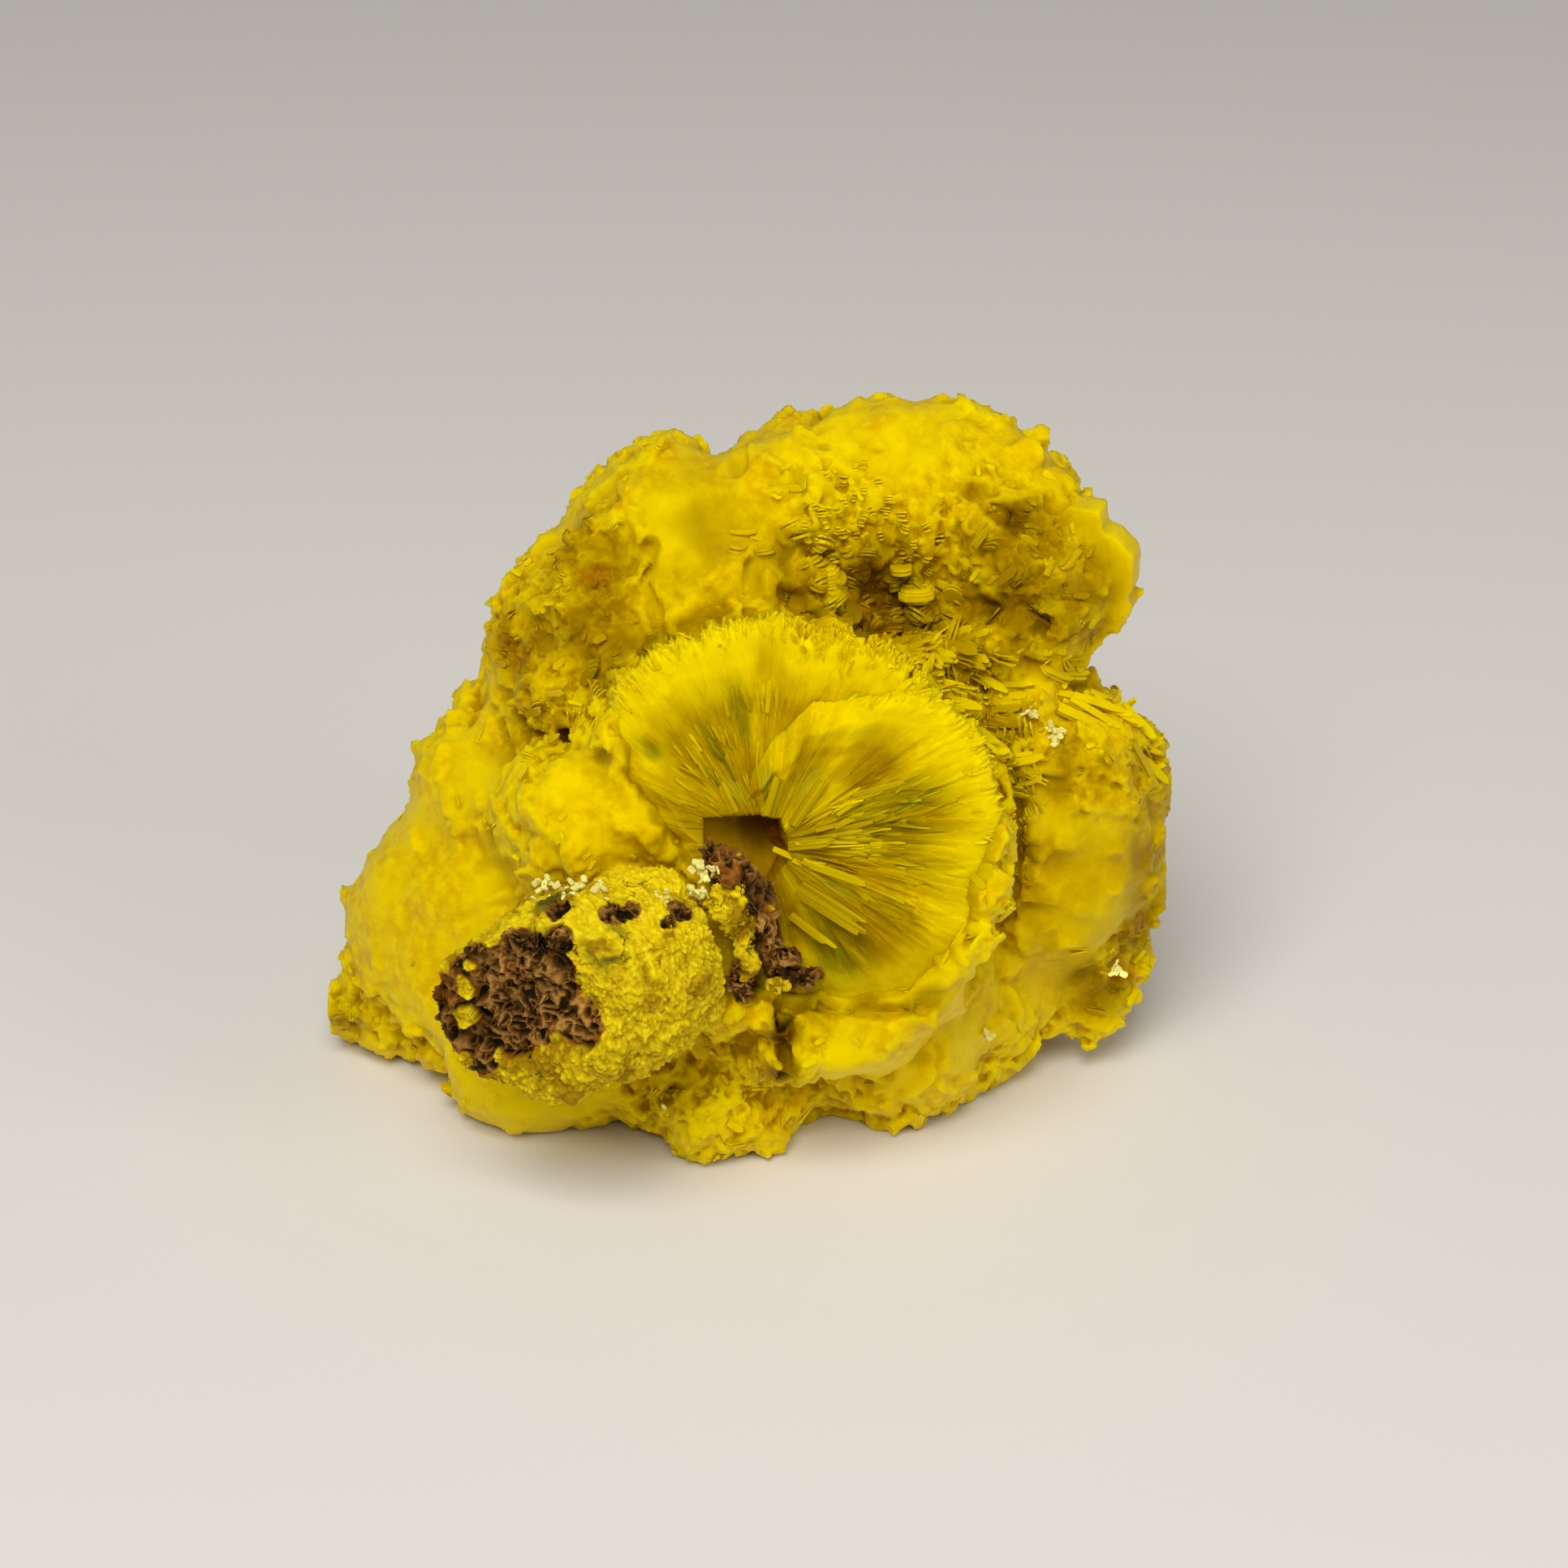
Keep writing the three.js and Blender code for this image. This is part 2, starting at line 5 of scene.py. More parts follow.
import bmesh
import bpy
import numpy as np
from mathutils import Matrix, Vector


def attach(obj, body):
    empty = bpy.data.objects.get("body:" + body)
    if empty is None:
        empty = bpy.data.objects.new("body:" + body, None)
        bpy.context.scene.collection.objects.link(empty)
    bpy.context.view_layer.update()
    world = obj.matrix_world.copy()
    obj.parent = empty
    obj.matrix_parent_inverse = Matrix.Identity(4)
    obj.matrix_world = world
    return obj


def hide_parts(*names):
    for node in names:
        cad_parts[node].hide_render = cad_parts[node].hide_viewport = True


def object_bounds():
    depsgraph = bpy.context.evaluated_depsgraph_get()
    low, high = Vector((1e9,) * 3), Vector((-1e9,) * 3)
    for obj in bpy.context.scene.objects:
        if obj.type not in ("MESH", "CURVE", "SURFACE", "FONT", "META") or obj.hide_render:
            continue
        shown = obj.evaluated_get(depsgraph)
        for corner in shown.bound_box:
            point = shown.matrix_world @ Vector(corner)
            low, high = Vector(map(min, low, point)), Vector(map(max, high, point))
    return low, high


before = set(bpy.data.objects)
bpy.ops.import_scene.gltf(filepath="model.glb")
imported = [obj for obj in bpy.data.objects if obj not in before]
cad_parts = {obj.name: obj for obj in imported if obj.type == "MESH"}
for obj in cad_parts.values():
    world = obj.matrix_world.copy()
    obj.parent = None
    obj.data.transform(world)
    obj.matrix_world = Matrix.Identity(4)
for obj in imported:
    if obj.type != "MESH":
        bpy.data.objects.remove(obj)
CAD_BOX = [list(corner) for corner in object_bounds()]

bl_info = {
    "name": "Vanuralite specimen",
    "version": (1, 0, 0),
    "blender": (4, 5, 0),
    "location": "View3D > Sidebar > Specimen",
    "description": "Builds the crystal mass, its tablets and its matrix around the packed solids",
    "category": "Object",
}

MM = 0.001  # lengths below are in millimetres until a mesh is made

# ------------------------------------------------------------------ the fan's shape, as in the solids

FAN_AT = np.array([0.7, -3.9, 8.9])
FAN_FACING = np.array([0.06, -0.96, 0.27])
# Each list goes once round the fan: a bearing in degrees, then the rim's radius or its lift there.
BACK_RIM = [
    (-60, 4.4), (0, 4.9), (30, 5.3), (45, 5.6), (58, 5.7), (68, 5.55), (78, 5.35), (86, 5.6), (100, 5.5),
    (118, 5.55), (130, 5.4), (137, 5.05), (150, 4.3), (163, 3.3), (180, 2.4), (235, 2.0), (300, 4.4),
]
BACK_LIFT = [(-60, -0.5), (20, -0.3), (40, 0.0), (150, 0.0), (175, -0.15), (215, -0.3), (300, -0.5)]
FRONT_RIM = [
    (-100, 3.2), (-75, 4.3), (-60, 5.0), (-45, 5.6), (-25, 5.6), (-12, 5.5), (3, 5.55), (15, 5.75),
    (27, 5.85), (38, 5.7), (46, 5.3), (55, 4.5), (68, 3.8), (80, 2.9), (95, 2.1), (120, 1.5), (180, 1.3),
    (260, 2.6),
]
FRONT_LIFT = [  # how far the front tier stands before the back one
    (-100, 0.0), (-70, 0.25), (-35, 0.5), (0, 0.6), (45, 0.6), (70, 0.45), (90, 0.15), (115, -0.4),
    (180, -0.6), (235, -0.4), (260, 0.0),
]
# Where the rim stands free (1) and where it melts into the mass (0).
BACK_FREE = [(-60, 0), (15, 0.3), (40, 1), (118, 1), (138, 0.5), (158, 0), (300, 0)]
FRONT_FREE = [(-100, 0), (-45, 0), (-15, 0.4), (5, 0.9), (50, 0.9), (66, 0.35), (85, 0), (260, 0)]
# How far the rim sinks towards the mass.
BACK_DROOP = [(-60, 0.75), (15, 0.5), (40, 0), (118, 0), (138, 0.35), (158, 0.75), (300, 0.75)]
FRONT_DROOP = [
    (-100, 0.4), (-45, 0.4), (-15, 0.15), (5, 0), (50, 0), (66, 0.4), (85, 0.75), (180, 0.75), (260, 0.4),
]
FAN_SECTION = [  # share of the rim radius, height of the face
    (0, -0.36), (0.25, -0.34), (0.42, -0.28), (0.58, -0.14), (0.72, 0.04), (0.86, 0.2), (0.95, 0.28),
    (1.0, 0.2),
]
FAN_TEETH = 190  # round each tier's rim
# The cavity at the middle, as edges: the direction across each, right and up, and its distance.
CAVITY_EDGES = np.array([
    (0.0, 1.0, 0.6), (0.97, 0.25, 0.45), (0.86, -0.51, 0.6), (0.0, -1.0, 1.1), (-0.76, -0.65, 1.14),
    (-1.0, 0.0, 1.5),
])
CAVITY_DEPTH = 1.3

# ------------------------------------------------------------------ the matrix, as in the solids

STUB_FROM = np.array([-1.0, -5.1, 7.2])
STUB_TO = np.array([-5.35, -7.85, 6.3])
STUB_RADII = [1.5, 1.95, 2.2, 2.35, 2.4, 2.4, 2.3, 2.15]
STUB_SAG = 1.2  # how much further the underside is from the axis than the top
STUB_ROUNDING = 0.42  # of the edge round the broken face
STUB_CUT = (-0.75, -0.1)  # slope of the free end's face, towards the front and towards the top
SEAM_LINE = np.array(
    [[-1.0, -4.9, 9.3], [-0.2, -5.0, 8.8], [0.45, -5.1, 8.1], [0.75, -5.1, 7.2], [1.0, -4.9, 5.7]]
)
SEAM_HALF_WIDTHS = [0.35, 0.5, 0.52, 0.42, 0.35]
SEAM_HALF_DEPTH = 1.1
SEAM_ROOM = 0.85  # share of that depth that the smooth form takes, which leaves room for its relief

# ------------------------------------------------------------------ where the specimen differs by place
# Each is (x, y, z, reach): a ball that fades out at its reach.

# Painted shade, brown: in pockets, crevices and recesses and under the stub, where shade falls.
POCKET_SHADES = np.array([
    (0.5, -3.0, 9.1, 1.3),  # behind the cavity at the middle of the fan
    (4.0, 0.6, 13.5, 1.3), (2.6, -0.4, 13.2, 1.2), (3.2, 0.7, 14.1, 0.9),  # upper vug
    (6.9, 0.9, 15.7, 0.7), (6.4, 0.4, 13.4, 0.8),  # inside of the right ear
    (-4.3, -1.0, 10.4, 0.7),  # crevice over the left shoulder
    (1.1, -5.7, 4.5, 0.8), (1.2, -5.9, 3.6, 0.8), (0.3, -5.2, 5.7, 0.8),  # hollow at the foot of the seam
    (-0.9, -4.4, 4.6, 1.1),  # under the stub
])
# Darker gold, mostly painted shade: the shadow band under the fan's lower edge, inside the ear and the vug,
# and the crevices on the left; on the right lobe it is a darker tone.
SHADES = np.array([
    (2.0, -5.4, 5.2, 0.9), (3.2, -5.6, 5.3, 1.0), (4.7, -5.6, 5.2, 0.8),  # painted shadow band across the lower front
    (-3.7, 0.6, 14.7, 1.7), (-4.0, -0.4, 13.6, 1.9), (-5.2, 0.1, 12.6, 1.9), (-3.1, -1.0, 12.6, 1.6),  # left
    (-1.4, 2.4, 14.0, 3.0), (-5.2, -0.3, 11.2, 1.3), (-4.6, -2.4, 8.8, 1.0), (-5.6, -0.2, 9.6, 1.0),
    (-10.4, 0.6, 1.4, 0.9),
    (9.0, 2.2, 6.2, 4.8), (9.4, 0.0, 2.6, 1.4), (10.2, 0.6, 4.4, 1.3), (8.6, -0.6, 9.2, 1.3),  # right
    (10.2, -0.2, 6.8, 1.2),
    (8.7, 0.9, 13.9, 1.5), (8.9, 0.7, 12.9, 1.0), (7.2, 0.7, 15.0, 1.7), (7.6, 0.2, 14.0, 1.8),  # the ear
    (6.6, 0.2, 13.2, 1.7), (8.2, 0.3, 13.2, 1.2),
    (3.4, 0.4, 13.6, 2.4), (1.4, 0.2, 14.4, 1.4), (5.4, -0.6, 12.0, 1.1), (6.6, -0.8, 10.8, 1.0),  # the vug
    (6.9, -1.2, 9.0, 1.1), (7.0, -1.2, 7.2, 1.1), (0.9, -5.4, 3.2, 0.9), (7.3, 0.5, 14.4, 2.4),
    (6.2, 0.2, 13.4, 1.8),
])
ORANGE_SPOTS = np.array([
    (-2.5, 0.4, 15.4, 0.5), (-3.0, 1.0, 16.0, 0.4), (-3.6, 0.3, 14.2, 0.7), (-4.2, -0.9, 10.5, 0.7),
    (10.3, 0.4, 4.2, 0.5), (9.9, 0.2, 3.0, 0.6), (10.4, 0.7, 2.5, 0.5), (-4.4, -2.8, 8.6, 0.6),
    (3.7, 0.3, 13.3, 0.9), (10.6, 0.1, 7.4, 0.5), (-5.6, 0.2, 12.4, 0.7), (-0.9, -5.2, 3.4, 0.8),
])
CALM = np.array([  # smooth places
    (-4.5, 2.4, 15.1, 1.5), (-3.7, 2.4, 15.9, 1.2),
    (9.9, 1.0, 13.8, 1.5), (9.6, 1.0, 15.2, 1.2),
    (-1.0, 0.9, 15.4, 2.8), (-0.4, 2.4, 17.0, 2.6), (-1.8, -0.6, 13.5, 1.5), (0.2, 0.3, 14.8, 1.3),
    (4.0, 2.6, 17.4, 2.4), (7.4, 2.6, 16.8, 1.4), (-7.6, -1.4, 5.0, 4.2), (-8.6, -0.4, 7.6, 2.8),
    (-5.5, -4.2, 1.2, 2.8), (4.0, -5.9, 3.6, 2.8), (5.6, -4.8, 4.4, 2.4), (9.2, -1.0, 6.0, 3.0),
    (8.4, -0.6, 3.4, 2.0), (-3.4, -3.6, 9.8, 2.0), (7.9, 0.2, 11.2, 1.4), (-6.9, -0.9, 9.6, 1.6),
    (-7.4, 0.2, 10.6, 1.6), (-9.7, 0.0, 5.6, 2.4), (-9.2, 0.2, 8.0, 2.0), (3.4, -5.4, 2.4, 2.0),
    (6.6, -3.6, 3.0, 2.4), (5.2, -5.0, 2.4, 2.4), (7.6, -2.2, 3.8, 2.0), (7.5, -0.8, 8.2, 1.6),
    (-2.6, -4.6, 10.2, 1.8), (9.0, 1.4, 15.4, 1.4),
])
ROUGH = np.array([  # grainy places
    (-4.0, -0.6, 13.0, 2.6), (-3.1, -1.2, 12.3, 1.8), (-5.2, 0.1, 13.3, 2.2), (-3.7, 0.6, 14.7, 1.9),
    (-0.7, -4.4, 2.6, 2.6), (-0.2, -5.0, 1.0, 2.2), (-10.7, 0.4, 1.7, 1.6),
    (7.2, 0.4, 14.4, 2.4), (5.4, -0.2, 12.4, 2.2), (6.6, -0.6, 10.6, 1.8), (3.4, 0.6, 14.2, 2.6),
    (6.8, -1.2, 8.6, 1.2), (6.9, -1.2, 6.8, 1.3), (10.4, 0.6, 3.2, 1.4), (-4.8, -2.1, 10.3, 1.2),
])
# Ridges and creases: how far each lifts the skin, its width, how deep the painted shade in it is, and where
# it runs.
STROKES = [
    (0.55, 0.7, 0.0, [(-1.6, -0.7, 13.5), (-0.1, 0.4, 14.75)]),  # panels left of the vug
    (0.3, 0.5, 0.0, [(0.6, -0.5, 13.4), (0.95, 0.4, 14.5)]),
    (0.25, 0.5, 0.0, [(8.2, 0.5, 12.3), (7.9, 0.2, 11.2), (7.5, -0.2, 10.4), (7.2, -0.7, 9.5)]),
    (0.3, 0.55, 0.0, [(7.4, -0.7, 9.3), (7.6, -0.9, 8.0), (7.7, -0.9, 6.2)]),
    (-0.3, 0.3, 0.7, [(-2.2, 0.3, 15.2), (-2.3, -0.2, 14.3), (-1.95, -0.7, 13.2)]),
    (-0.35, 0.25, 0.6, [(0.3, 0.3, 14.7), (0.35, -0.4, 14.2), (0.4, -1.2, 13.8)]),
    (-0.4, 0.4, 0.8,
     [(1.2, 0.0, 14.0), (1.9, -0.3, 13.6), (2.8, -0.6, 13.4), (3.8, -0.3, 13.3), (4.7, 0.3, 12.9)]),
    (-0.55, 0.38, 0.9, [(-5.6, -0.4, 10.8), (-5.0, -0.6, 10.5), (-4.3, -1.0, 10.4), (-4.0, -1.5, 9.8)]),
    (-0.4, 0.3, 0.8, [(0.6, -5.5, 5.2), (2.0, -5.4, 5.2), (3.4, -5.6, 5.1), (4.8, -5.6, 5.2)]),
    (-0.9, 0.34, 1.0, [(1.1, -5.7, 5.0), (1.15, -5.9, 4.2), (1.25, -5.9, 3.3)]),
    (-0.3, 0.4, 0.6, [(7.0, -0.7, 9.0), (7.05, -1.0, 7.6), (6.9, -1.0, 5.4)]),
    (-0.2, 0.5, 0.5, [(5.9, 1.3, 16.2), (6.8, 0.9, 15.75), (7.8, 1.3, 15.9)]),
    (-0.3, 0.35, 0.6, [(6.9, 0.1, 13.6), (7.6, 0.0, 13.3), (8.1, 0.3, 12.5)]),
    (-0.45, 0.4, 0.3, [(-0.1, 1.8, 16.7), (-0.1, 3.2, 17.2)]),
    (-0.3, 0.3, 0.6, [(-1.7, -4.4, 3.6), (-1.4, -4.8, 2.6), (-2.2, -4.4, 1.6)]),
]
# Blocks grown into the mass: root, tip, the way the flat side faces, width and thickness.
BLOCKS = [
    ((9.6, 0.9, 3.1), (10.9, 1.0, 2.6), (0.2, -0.85, 0.5), 0.75, 0.35),  # toothed tips of the right toe
    ((9.3, 0.4, 2.5), (10.65, 0.6, 1.85), (0.2, -0.85, 0.5), 0.6, 0.35),
    ((8.7, 0.1, 1.9), (9.85, 0.1, 1.3), (0.2, -0.85, 0.5), 0.6, 0.35),
    ((6.9, 2.3, 16.6), (7.7, 2.4, 17.0), (0.1, -0.85, 0.5), 0.8, 0.5),  # square corner of the top
]
# The right ear's edge: the outline, as x and z, of a thick plate with straight sides.
EAR_FACING = (-0.28, -0.96, 0.0)
EAR_THICKNESS = 0.96
EAR_MIDDLE = 4.0  # y of the plate's middle where x is 0
EAR_EDGE = [
    (7.6, 12.0), (8.38, 11.5), (9.2, 12.4), (9.78, 12.5), (9.92, 12.85), (10.1, 13.25), (9.98, 13.55),
    (10.1, 13.8), (10.1, 14.7), (9.6, 15.2), (9.28, 15.28), (9.22, 15.85), (8.5, 15.9), (7.7, 15.1),
]
DIGS = [  # x, y, z, reach, and how far the skin is pressed in there
    (3.6, 0.4, 13.6, 1.4, 0.55), (2.2, -0.2, 13.9, 1.1, 0.4), (1.3, 0.3, 14.8, 0.8, 0.3),
    (6.8, 0.7, 15.6, 0.7, 0.25), (6.6, 0.1, 13.6, 1.1, 0.3), (5.6, -0.6, 12.0, 1.2, 0.25),
]
# The fan's streaks: bearing in degrees, distance, half their turn and half their length.
OLIVE_STREAKS = [
    (139, 3.9, 5, 0.7), (117, 2.5, 5, 1.3), (100, 3.4, 6, 1.2), (88, 1.5, 9, 0.6), (12, 3.4, 16, 2.4),
    (-4, 2.4, 9, 1.9), (-9, 4.2, 8, 1.3), (-58, 3.2, 16, 1.5), (128, 1.8, 6, 0.9), (-30, 3.6, 7, 1.0),
]
FRESH_STREAKS = [
    (57, 1.9, 7, 0.8), (88, 1.5, 8, 0.6), (118, 1.6, 7, 0.7), (-33, 2.0, 6, 1.0), (8, 1.6, 5, 0.9),
]
# Painted shade, in streaks over the fan's face.
SHADE_STREAKS = [
    (36, 3.2, 13, 1.4), (-32, 3.4, 12, 1.9), (-14, 4.4, 8, 0.9), (100, 1.9, 14, 1.1), (140, 2.2, 14, 1.3),
    (60, 2.6, 9, 1.3), (-75, 3.9, 14, 0.8), (20, 1.4, 14, 0.6),
]


# ------------------------------------------------------------------ numbers and noise


def linear(hex_colour):
    """An sRGB hex colour as linear red, green, blue and 1."""
    parts = [int(hex_colour[i:i + 2], 16) / 255 for i in (1, 3, 5)]
    return [p / 12.92 if p <= 0.04045 else ((p + 0.055) / 1.055) ** 2.4 for p in parts] + [1.0]


def hashed(cell, seed):
    """A repeatable number from 0 to 1 for each row of three whole numbers."""
    x, y, z = (cell[..., i].astype(np.uint64) for i in range(3))
    h = (x * np.uint64(374761393)) ^ (y * np.uint64(668265263)) ^ (z * np.uint64(1440662683))
    h = (h + np.uint64(seed * 2654435761)) & np.uint64(0xFFFFFFFF)
    h = ((h ^ (h >> np.uint64(15))) * np.uint64(2246822519)) & np.uint64(0xFFFFFFFF)
    h = ((h ^ (h >> np.uint64(13))) * np.uint64(3266489917)) & np.uint64(0xFFFFFFFF)
    return (h ^ (h >> np.uint64(16))).astype(np.float64) / 4294967296.0


def noise(points, spacing, seed=0):
    """Smooth noise from -1 to 1: a random value at each corner of a lattice, blended across each cell
    by t*t*(3 - 2t) along every axis."""
    q = points / spacing + 1000.0
    cell = np.floor(q).astype(np.int64)
    t = q - cell
    ease = t * t * (3 - 2 * t)
    total = np.zeros(len(points))
    for corner in range(8):
        step = np.array([corner & 1, (corner >> 1) & 1, corner >> 2])
        weight = np.prod(np.where(step == 1, ease, 1 - ease), axis=1)
        total += weight * hashed(cell + step, seed)
    return 2 * total - 1


def layered(points, spacing, seed, layers=3):
    """Noise of one spacing plus finer layers, each half as wide and half as strong."""
    total = sum(0.5 ** i * noise(points, spacing * 0.5 ** i, seed + i) for i in range(layers))
    return total / sum(0.5 ** i for i in range(layers))


def three_hashed(cell, seed):
    """Three repeatable numbers from 0 to 1 for each row of three whole numbers."""
    return np.stack([hashed(cell, seed + k) for k in range(3)], axis=1)


def nearest_centre(points, spacing, seed):
    """One random centre in each lattice cell: for each point its nearest centre's cell, the way from that
    centre to the point, and how far that is, in spacings."""
    q = points / spacing + 1000.0
    base = np.floor(q).astype(np.int64)
    cell, gap, near = base.copy(), np.zeros_like(q), np.full(len(points), 9.0)
    for offset in np.ndindex(3, 3, 3):
        other = base + np.array(offset) - 1
        away = q - other - three_hashed(other, seed)
        distance = np.linalg.norm(away, axis=1)
        closer = distance < near
        cell[closer], gap[closer], near[closer] = other[closer], away[closer], distance[closer]
    return cell, gap, near


def grains(points, spacing, seed, reach):
    """1 at scattered centres, easing to 0 at a reach given in spacings."""
    return smoothstep(reach, 0.0, nearest_centre(points, spacing, seed)[2])


def facets(points, spacing, seed, tilt):
    """Height in millimetres of broken facets: each point belongs to the nearest of some scattered centres,
    and takes that centre's own tilted plane and step. The tilt is a slope."""
    cell, gap, _ = nearest_centre(points, spacing, seed)
    lean = 2 * three_hashed(cell, seed + 3) - 1
    return (tilt * np.sum(gap * lean, axis=1) + 0.4 * tilt * (hashed(cell, seed + 6) - 0.5)) * spacing


def bundles(points, spacing, seed):
    """A direction for each point that is the same for all points nearest to one scattered centre."""
    return 2 * three_hashed(nearest_centre(points, spacing, seed)[0], seed + 3) - 1


def stirred(points, by, spacing, seed):
    """Points moved about by smooth noise, so that what is worked out from them is less regular."""
    return points + by * np.stack([noise(points, spacing, seed + k) for k in range(3)], axis=1)


def nearness(points, places):
    """How deep each point is in the nearest of some balls: 1 at a centre, 0 at its reach and beyond."""
    depth = np.zeros(len(points))
    for place in places:
        share = np.linalg.norm(points - place[:3], axis=1) / place[3]
        depth = np.maximum(depth, np.clip(1 - share, 0, 1))
    return depth


def among(points, places, gain=1.7):
    """1 well inside one of some balls, fading to 0 at its reach."""
    return np.clip(gain * nearness(points, places), 0, 1)


def along_strokes(points, lifting):
    """How far the ridges (lifting) or the creases move the skin, and how deep their painted shade is: each
    fades out over its own width either side of the line it runs along."""
    moved, depth = np.zeros(len(points)), np.zeros(len(points))
    for lift, width, colour, line in STROKES:
        if (lift > 0) != lifting:
            continue
        near = np.full(len(points), 9.0)
        for start, end in zip(np.array(line)[:-1], np.array(line)[1:]):
            step = end - start
            share = np.clip((points - start) @ step / (step @ step), 0, 1)[:, None]
            near = np.minimum(near, np.linalg.norm(points - start - share * step, axis=1))
        inside = smoothstep(1, 0, near / width)
        moved = moved + lift * inside
        depth = np.maximum(depth, colour * smoothstep(1, 0.2, near / (1.2 * width)))
    return moved, depth


def smoothstep(low, high, x):
    """0 under low, 1 over high, eased between."""
    t = np.clip((x - low) / (high - low), 0, 1)
    return t * t * (3 - 2 * t)


def unit(v):
    """Each row scaled to length 1."""
    return v / np.maximum(np.linalg.norm(v, axis=-1, keepdims=True), 1e-9)


FAN_FACING = unit(FAN_FACING)
FAN_RIGHT = unit(np.cross([0.0, 0.0, 1.0], FAN_FACING))
FAN_UP = np.cross(FAN_FACING, FAN_RIGHT)


def eased(pairs, at):
    """The value of a list of (position, value) pairs at each position, eased between them."""
    where, value = np.array(pairs, float).T
    index = np.clip(np.searchsorted(where, at) - 1, 0, len(where) - 2)
    t = np.clip((at - where[index]) / (where[index + 1] - where[index]), 0, 1)
    return value[index] + (value[index + 1] - value[index]) * t * t * (3 - 2 * t)


def round_the_fan(pairs, bearing):
    """The value at each bearing in degrees of a list that goes once round the fan."""
    return eased(pairs, (bearing - pairs[0][0]) % 360 + pairs[0][0])


def fan_place(points):
    """Where points are in the fan: bearing in degrees, distance from the cavity, height to the front."""
    offset = points - FAN_AT
    across, along = offset @ FAN_RIGHT, offset @ FAN_UP
    return np.degrees(np.arctan2(along, across)), np.hypot(across, along), offset @ FAN_FACING


def in_fan(points):
    """1 on the fan's face, 0 away from it, and the share of the rim radius. The face ends sooner where the
    rim melts into the mass."""
    bearing, reach, height = fan_place(points)
    front, back = reach / round_the_fan(FRONT_RIM, bearing), reach / round_the_fan(BACK_RIM, bearing)
    share = np.minimum(front, back)
    free = np.where(front < back, round_the_fan(FRONT_FREE, bearing), round_the_fan(BACK_FREE, bearing))
    return smoothstep(1.06, 0.97, share + 0.1 * (1 - free)) * smoothstep(-2.4, -1.6, height), share


def spokes(bearing, reach, turn, pull):
    """Points whose noise comes out as streaks that radiate: turn packs them round, pull draws them out."""
    angle = np.radians(bearing)
    return np.stack([turn * np.cos(angle), turn * np.sin(angle), pull * reach], axis=1)


def in_streaks(streaks, bearing, reach):
    """How deep each place is in the nearest of the fan's streaks, from 0 to 1."""
    depth = np.zeros(len(bearing))
    for turn, far, half_turn, half_length in streaks:
        away = ((bearing - turn + 180) % 360 - 180) / half_turn
        depth = np.maximum(depth, 1 - np.hypot(away, (reach - far) / half_length))
    return np.clip(1.6 * depth, 0, 1)


# ------------------------------------------------------------------ meshes


def raw_mesh(name, points, loops, sizes, smooth=True):
    """A mesh from points in millimetres and faces given as one run of corners and a size for each face."""
    mesh = bpy.data.meshes.new(name)
    mesh.vertices.add(len(points))
    mesh.vertices.foreach_set("co", (points * MM).astype(np.float32).ravel())
    mesh.loops.add(len(loops))
    mesh.loops.foreach_set("vertex_index", loops.astype(np.int32))
    mesh.polygons.add(len(sizes))
    starts = np.concatenate([[0], np.cumsum(sizes)[:-1]]).astype(np.int32)
    mesh.polygons.foreach_set("loop_start", starts)
    mesh.polygons.foreach_set("use_smooth", np.full(len(sizes), smooth))
    mesh.update(calc_edges=True)
    return mesh


def mesh_object(name, points, loops, sizes, marks, material, smooth=True):
    """A piece with its attributes and material, linked into the scene."""
    mesh = raw_mesh(name, points, loops, sizes, smooth)
    for key, values in marks.items():
        kind, field = ("FLOAT", "value") if values.ndim == 1 else ("FLOAT_VECTOR", "vector")
        layer = mesh.attributes.new(key, kind, "POINT")
        layer.data.foreach_set(field, values.astype(np.float32).ravel())
    mesh.materials.append(material)
    piece = bpy.data.objects.new(name, mesh)
    bpy.context.scene.collection.objects.link(piece)
    return piece


def read_mesh(mesh):
    """Points in millimetres, the run of corners, face sizes and edges of a mesh."""
    points = np.empty(len(mesh.vertices) * 3, np.float32)
    mesh.vertices.foreach_get("co", points)
    loops = np.empty(len(mesh.loops), np.int32)
    mesh.loops.foreach_get("vertex_index", loops)
    sizes = np.empty(len(mesh.polygons), np.int32)
    mesh.polygons.foreach_get("loop_total", sizes)
    edges = np.empty(len(mesh.edges) * 2, np.int32)
    mesh.edges.foreach_get("vertices", edges)
    return points.reshape(-1, 3).astype(float) / MM, loops, sizes, edges.reshape(-1, 2)


def modified(points, loops, sizes, kind, **settings):
    """A skin after one modifier of Blender's, as points, corners, face sizes and edges."""
    mesh = raw_mesh("carrier", points, loops, sizes)
    carrier = bpy.data.objects.new("carrier", mesh)
    bpy.context.scene.collection.objects.link(carrier)
    modifier = carrier.modifiers.new("change", kind)
    for key, value in settings.items():
        setattr(modifier, key, value)
    graph = bpy.context.evaluated_depsgraph_get()
    result = bpy.data.meshes.new_from_object(carrier.evaluated_get(graph))
    skin = read_mesh(result)
    bpy.data.objects.remove(carrier)
    bpy.data.meshes.remove(mesh)
    bpy.data.meshes.remove(result)
    return skin


def grid_faces(rows, columns):
    """Corners of the quads of a tube of rings, closed round and fanned to a point at each end.
    The two end points follow the rings in the list of points."""
    r, c = np.meshgrid(np.arange(rows - 1), np.arange(columns), indexing="ij")
    n = (c + 1) % columns
    quads = np.stack([r * columns + c, r * columns + n, (r + 1) * columns + n, (r + 1) * columns + c], -1)
    k = np.arange(columns)
    first = np.stack([np.full(columns, rows * columns), (k + 1) % columns, k], -1)
    base = (rows - 1) * columns
    last = np.stack([np.full(columns, rows * columns + 1), base + k, base + (k + 1) % columns], -1)
    loops = np.concatenate([quads.ravel(), first.ravel(), last.ravel()])
    sizes = np.concatenate([np.full((rows - 1) * columns, 4), np.full(2 * columns, 3)])
    return loops, sizes


